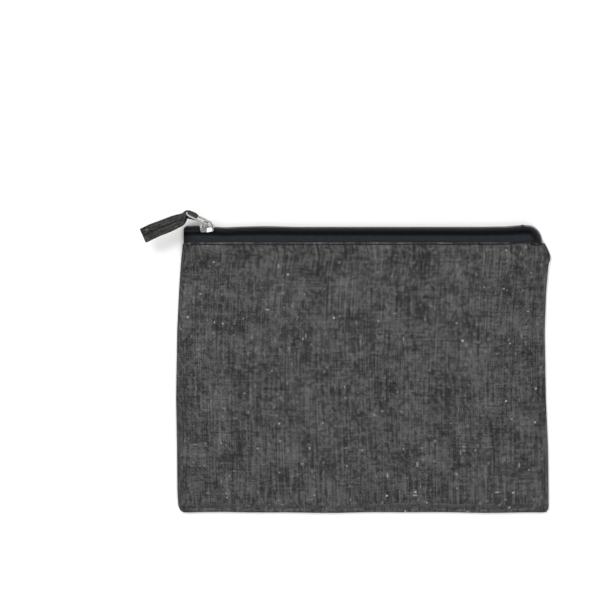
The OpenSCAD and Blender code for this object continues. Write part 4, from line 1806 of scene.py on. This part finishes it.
@dataclass
class Puller:
    """A pressed strip of cloth, folded round the wire loop and stitched to itself."""

    finishes: Finishes
    thickness: float = 0.75 * MM        # of one leg of the strip, two layers of cloth
    bight: float = 2.2 * MM             # how soon its fold has turned back
    bight_wide: float = 1.05 * MM       # half the distance between its legs round the wire
    closed_from: float = 6.5 * MM       # where the legs start to close
    closing: float = 5.0 * MM           # and the length that it takes
    bar: Array = field(init=False)
    level: float = field(init=False)

    def __post_init__(self) -> None:
        """Reads the loop's far bar and the strip's level off the frame."""
        joint = next(j for j in frame["joints"] if j["name"] == "puller_swing")
        self.bar = np.array(joint["pos_m"])
        self.level = float(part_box("puller_strip")[1].z) - self.thickness

    def middle(self, count: int) -> tuple[Array, Array, Array, Array]:
        """The strip's middle surface, from its fold inside the loop to its free end.

        Args:
            count: how many places along it.

        Returns:
            The middle line, the direction across it, its normal, and half its width.
        """
        stations = [        # from the bar in x and y, height, half width, and tilt and heading in degrees
            (5.9, -2.7, -1.2, 1.9, 62, 158),
            (2.8, -1.5, -0.6, 2.5, 60, 163),
            (0.0, -1.0, 0.1, 2.9, 56, 178),
            (-2.4, -3.5, 0.9, 3.6, 34, 196),
            (-6.4, -5.3, 1.3, 4.0, 16, 203),
            (-13.4, -8.1, 1.7, 4.3, 6, 204),
            (-20.0, -10.8, 1.7, 4.4, 1, 204),
            (-26.1, -13.6, 1.6, 4.4, 0, 204),
        ]
        curve = through(stations, count)
        full = 1.75                     # the height at which the strip lies at its CAD level
        rise = (self.level - self.bar[2]) / full
        line = curve[:, :3] * np.array([MM, MM, rise]) + self.bar
        ahead = unit(np.gradient(line, axis=0))
        tilt, heading = np.radians(curve[:, 4]), np.radians(curve[:, 5])
        flat = np.stack([np.sin(heading), -np.cos(heading), np.zeros(count)], -1)
        across = flat * np.cos(tilt)[:, None] - np.array([0.0, 0.0, 1.0]) * np.sin(tilt)[:, None]
        return line, across, unit(np.cross(across, ahead)), curve[:, 3] * MM

    def gap(self, run: Array) -> Array:
        """How far the strip's two legs stand apart.

        Args:
            run: distances back from its fold.

        Returns:
            Half the distance between the legs at each.
        """
        turned = np.clip(run / self.bight, 0, 1)
        fold = np.sqrt(np.clip(1 - (1 - turned) ** 2, 0, 1))
        closed = self.thickness / 2 + 0.03 * MM
        settle = ease((run - self.closed_from) / self.closing)
        return fold * (self.bight_wide + (closed - self.bight_wide) * settle)

    def strip(self) -> bpy.types.Object:
        """The strip itself, one band of cloth along both legs.

        Returns:
            The piece.
        """
        count, width = 64, 21
        line, across, normal, half = self.middle(count)
        run = arc_lengths(line, 0)
        q = np.linspace(-1, 1, width)
        groove = 0.42 * MM * np.exp(-((q / 0.13) ** 2))
        crown = (0.16 * MM * (1 - q**2) - groove)[None] * ease(run / (6 * MM))[:, None]
        legs = []
        for leg in (1, -1):
            edge = half * (1 + 0.02 * swell(run, 2.3 * MM, leg))
            out = leg * (self.gap(run)[:, None] + crown)
            spread = across[:, None] * edge[:, None, None] * q[None, :, None]
            legs.append(line[:, None] + spread + normal[:, None] * out[..., None])
        band = np.concatenate([legs[0][::-1], legs[1][1:]])
        lengths = arc_lengths(band, 0)[:, width // 2]
        cuts = np.stack(np.broadcast_arrays((q * 5 * MM)[None], lengths[:, None]), -1)
        patch = Patch()
        patch.grid(band, cuts)
        piece = patch.piece("puller_cloth", self.finishes.puller)
        thicken(piece, self.thickness * 0.9, levels=1)
        return give(piece, Body.PULLER, "puller_cloth", "puller_strip")

    def sewing(self) -> bpy.types.Object:
        """A row down the strip's middle and a bar across it behind the loop.

        Returns:
            The piece.
        """
        line, across, normal, half = self.middle(80)
        run = arc_lengths(line, 0)
        lift = (self.gap(run) + self.thickness * 0.45 - 0.1 * MM)[:, None]
        bar_at = 10.2 * MM
        kept = (run > bar_at + 0.8 * MM) & (run < run[-1] - 1.6 * MM)
        patch = Patch()
        top = line + normal * (lift - 0.02 * MM)
        Stitch(2.2 * MM, 0.3 * MM, 0.3 * MM, 0.25 * MM).row(patch, top[kept], normal[kept])
        at = int(np.argmin(np.abs(run - bar_at)))
        ahead = unit(line[at + 1] - line[at])
        q = np.linspace(-0.8, 0.8, 40)
        short = Stitch(1.1 * MM, 0.12 * MM, 0.15 * MM, 0.2 * MM)
        for shift in (0.0, 0.5 * MM):
            place = line[at] + ahead * shift + normal[at] * (lift[at] + 0.03 * MM)
            bar = place + across[at] * (half[at] * q)[:, None]
            short.row(patch, bar, np.tile(normal[at], (len(q), 1)))
        piece = patch.piece("puller_stitches", self.finishes.thread)
        return give(piece, Body.PULLER, "thread", "puller_stitching")

    def build(self) -> list[bpy.types.Object]:
        """Builds the puller."""
        return [self.strip(), self.sewing()]


# ---------------------------------------------------------------- studio


@dataclass
class Studio:
    """A white floor, soft light and a camera straight above."""

    finishes: Finishes
    centre: tuple[float, float] = (-37.3 * MM, 41.2 * MM)   # the middle of the view on the pouch
    across: float = 357.9 * MM          # the view's width at the pouch
    height: float = 1.6
    sensor: float = 36.0                # in millimetres
    horizon: float = 0.10               # the surround is darker low down, for the metal to reflect
    overhead: float = 0.15              # and round the camera
    front: float = 0.3                  # and beyond the pouch's foot
    surround: float = 1.6               # its strength
    aim: tuple[float, float, float] = (0.0, 0.02, 0.0)      # what the lamps point at

    def camera(self) -> None:
        """Looks straight down, with a long lens."""
        data = bpy.data.cameras.new("overhead_camera")
        made = bpy.data.objects.new("overhead_camera", data)
        bpy.context.scene.collection.objects.link(made)
        made.location = (self.centre[0], self.centre[1], self.height)
        data.sensor_width = self.sensor
        data.lens = self.sensor * (self.height - 2 * MM) / self.across
        data.clip_end = 20.0
        bpy.context.scene.camera = made

    def floor(self) -> None:
        """A wide white floor just under the pouch."""
        mesh = bpy.data.meshes.new("floor")
        reach = 6.0
        corners = [(-reach, -reach, 0), (reach, -reach, 0), (reach, reach, 0), (-reach, reach, 0)]
        mesh.from_pydata(corners, [], [(0, 1, 2, 3)])
        mesh.materials.append(self.finishes.ground)
        made = bpy.data.objects.new("floor", mesh)
        made.location.z = -0.05 * MM
        bpy.context.scene.collection.objects.link(made)

    def lamp(self, name: str, place: Sequence[float], size: float, power: float) -> None:
        """A square soft light aimed at the pouch.

        Args:
            name: its name.
            place: where it stands.
            size: its side.
            power: its power, in watts.
        """
        data = bpy.data.lights.new(name, "AREA")
        data.size, data.energy = size, power
        made = bpy.data.objects.new(name, data)
        bpy.context.scene.collection.objects.link(made)
        made.location = place
        way = Vector(self.aim) - Vector(place)
        made.rotation_euler = way.to_track_quat("-Z", "Y").to_euler()

    def light(self) -> None:
        """A white surround, with a key lamp beyond the zipper and a fill lamp from the foot."""
        world = bpy.data.worlds.new("white_surround")
        bpy.context.scene.world = world
        world.use_nodes = True
        bench = Bench(world.node_tree)
        way = bench.signal("ShaderNodeTexCoord", {}, {}, "Generated")
        parts = bench.node("ShaderNodeSeparateXYZ", {}, {0: way}).outputs
        height, back = Signal(bench, parts[2]), Signal(bench, parts[1])
        above = height.step(0.4, 0.85) - height.step(0.92, 0.985) * (1 - self.overhead)
        around = back.step(-0.85, -0.3) * (1 - self.front) + self.front
        sky = bench.mix(above * around, grey(self.horizon), grey(1.0))
        bench.plug(world.node_tree.nodes["Background"], {"Color": sky, "Strength": self.surround})
        self.lamp("key_softbox", (-0.55, 0.75, 1.1), 0.7, 9.0)
        self.lamp("fill_softbox", (0.52, -0.86, 0.80), 0.55, 4.0)

    def build(self) -> None:
        """Sets the studio."""
        self.camera()
        self.floor()
        self.light()
        bpy.context.scene.view_settings.view_transform = "Standard"


def main() -> None:
    """Builds the pouch round the frame."""
    logging.basicConfig(level=logging.INFO, format="%(name)s: %(message)s")
    finishes = Finishes()
    Studio(finishes).build()
    outline = Outline()
    mouth = Mouth(outline)
    panels = Panels(outline, mouth, finishes)
    panels.build()
    Sewing(panels).build()
    Zipper(mouth, outline, finishes).build()
    Hardware(finishes).build()
    Puller(finishes).build()


if __name__ == "__main__":
    main()
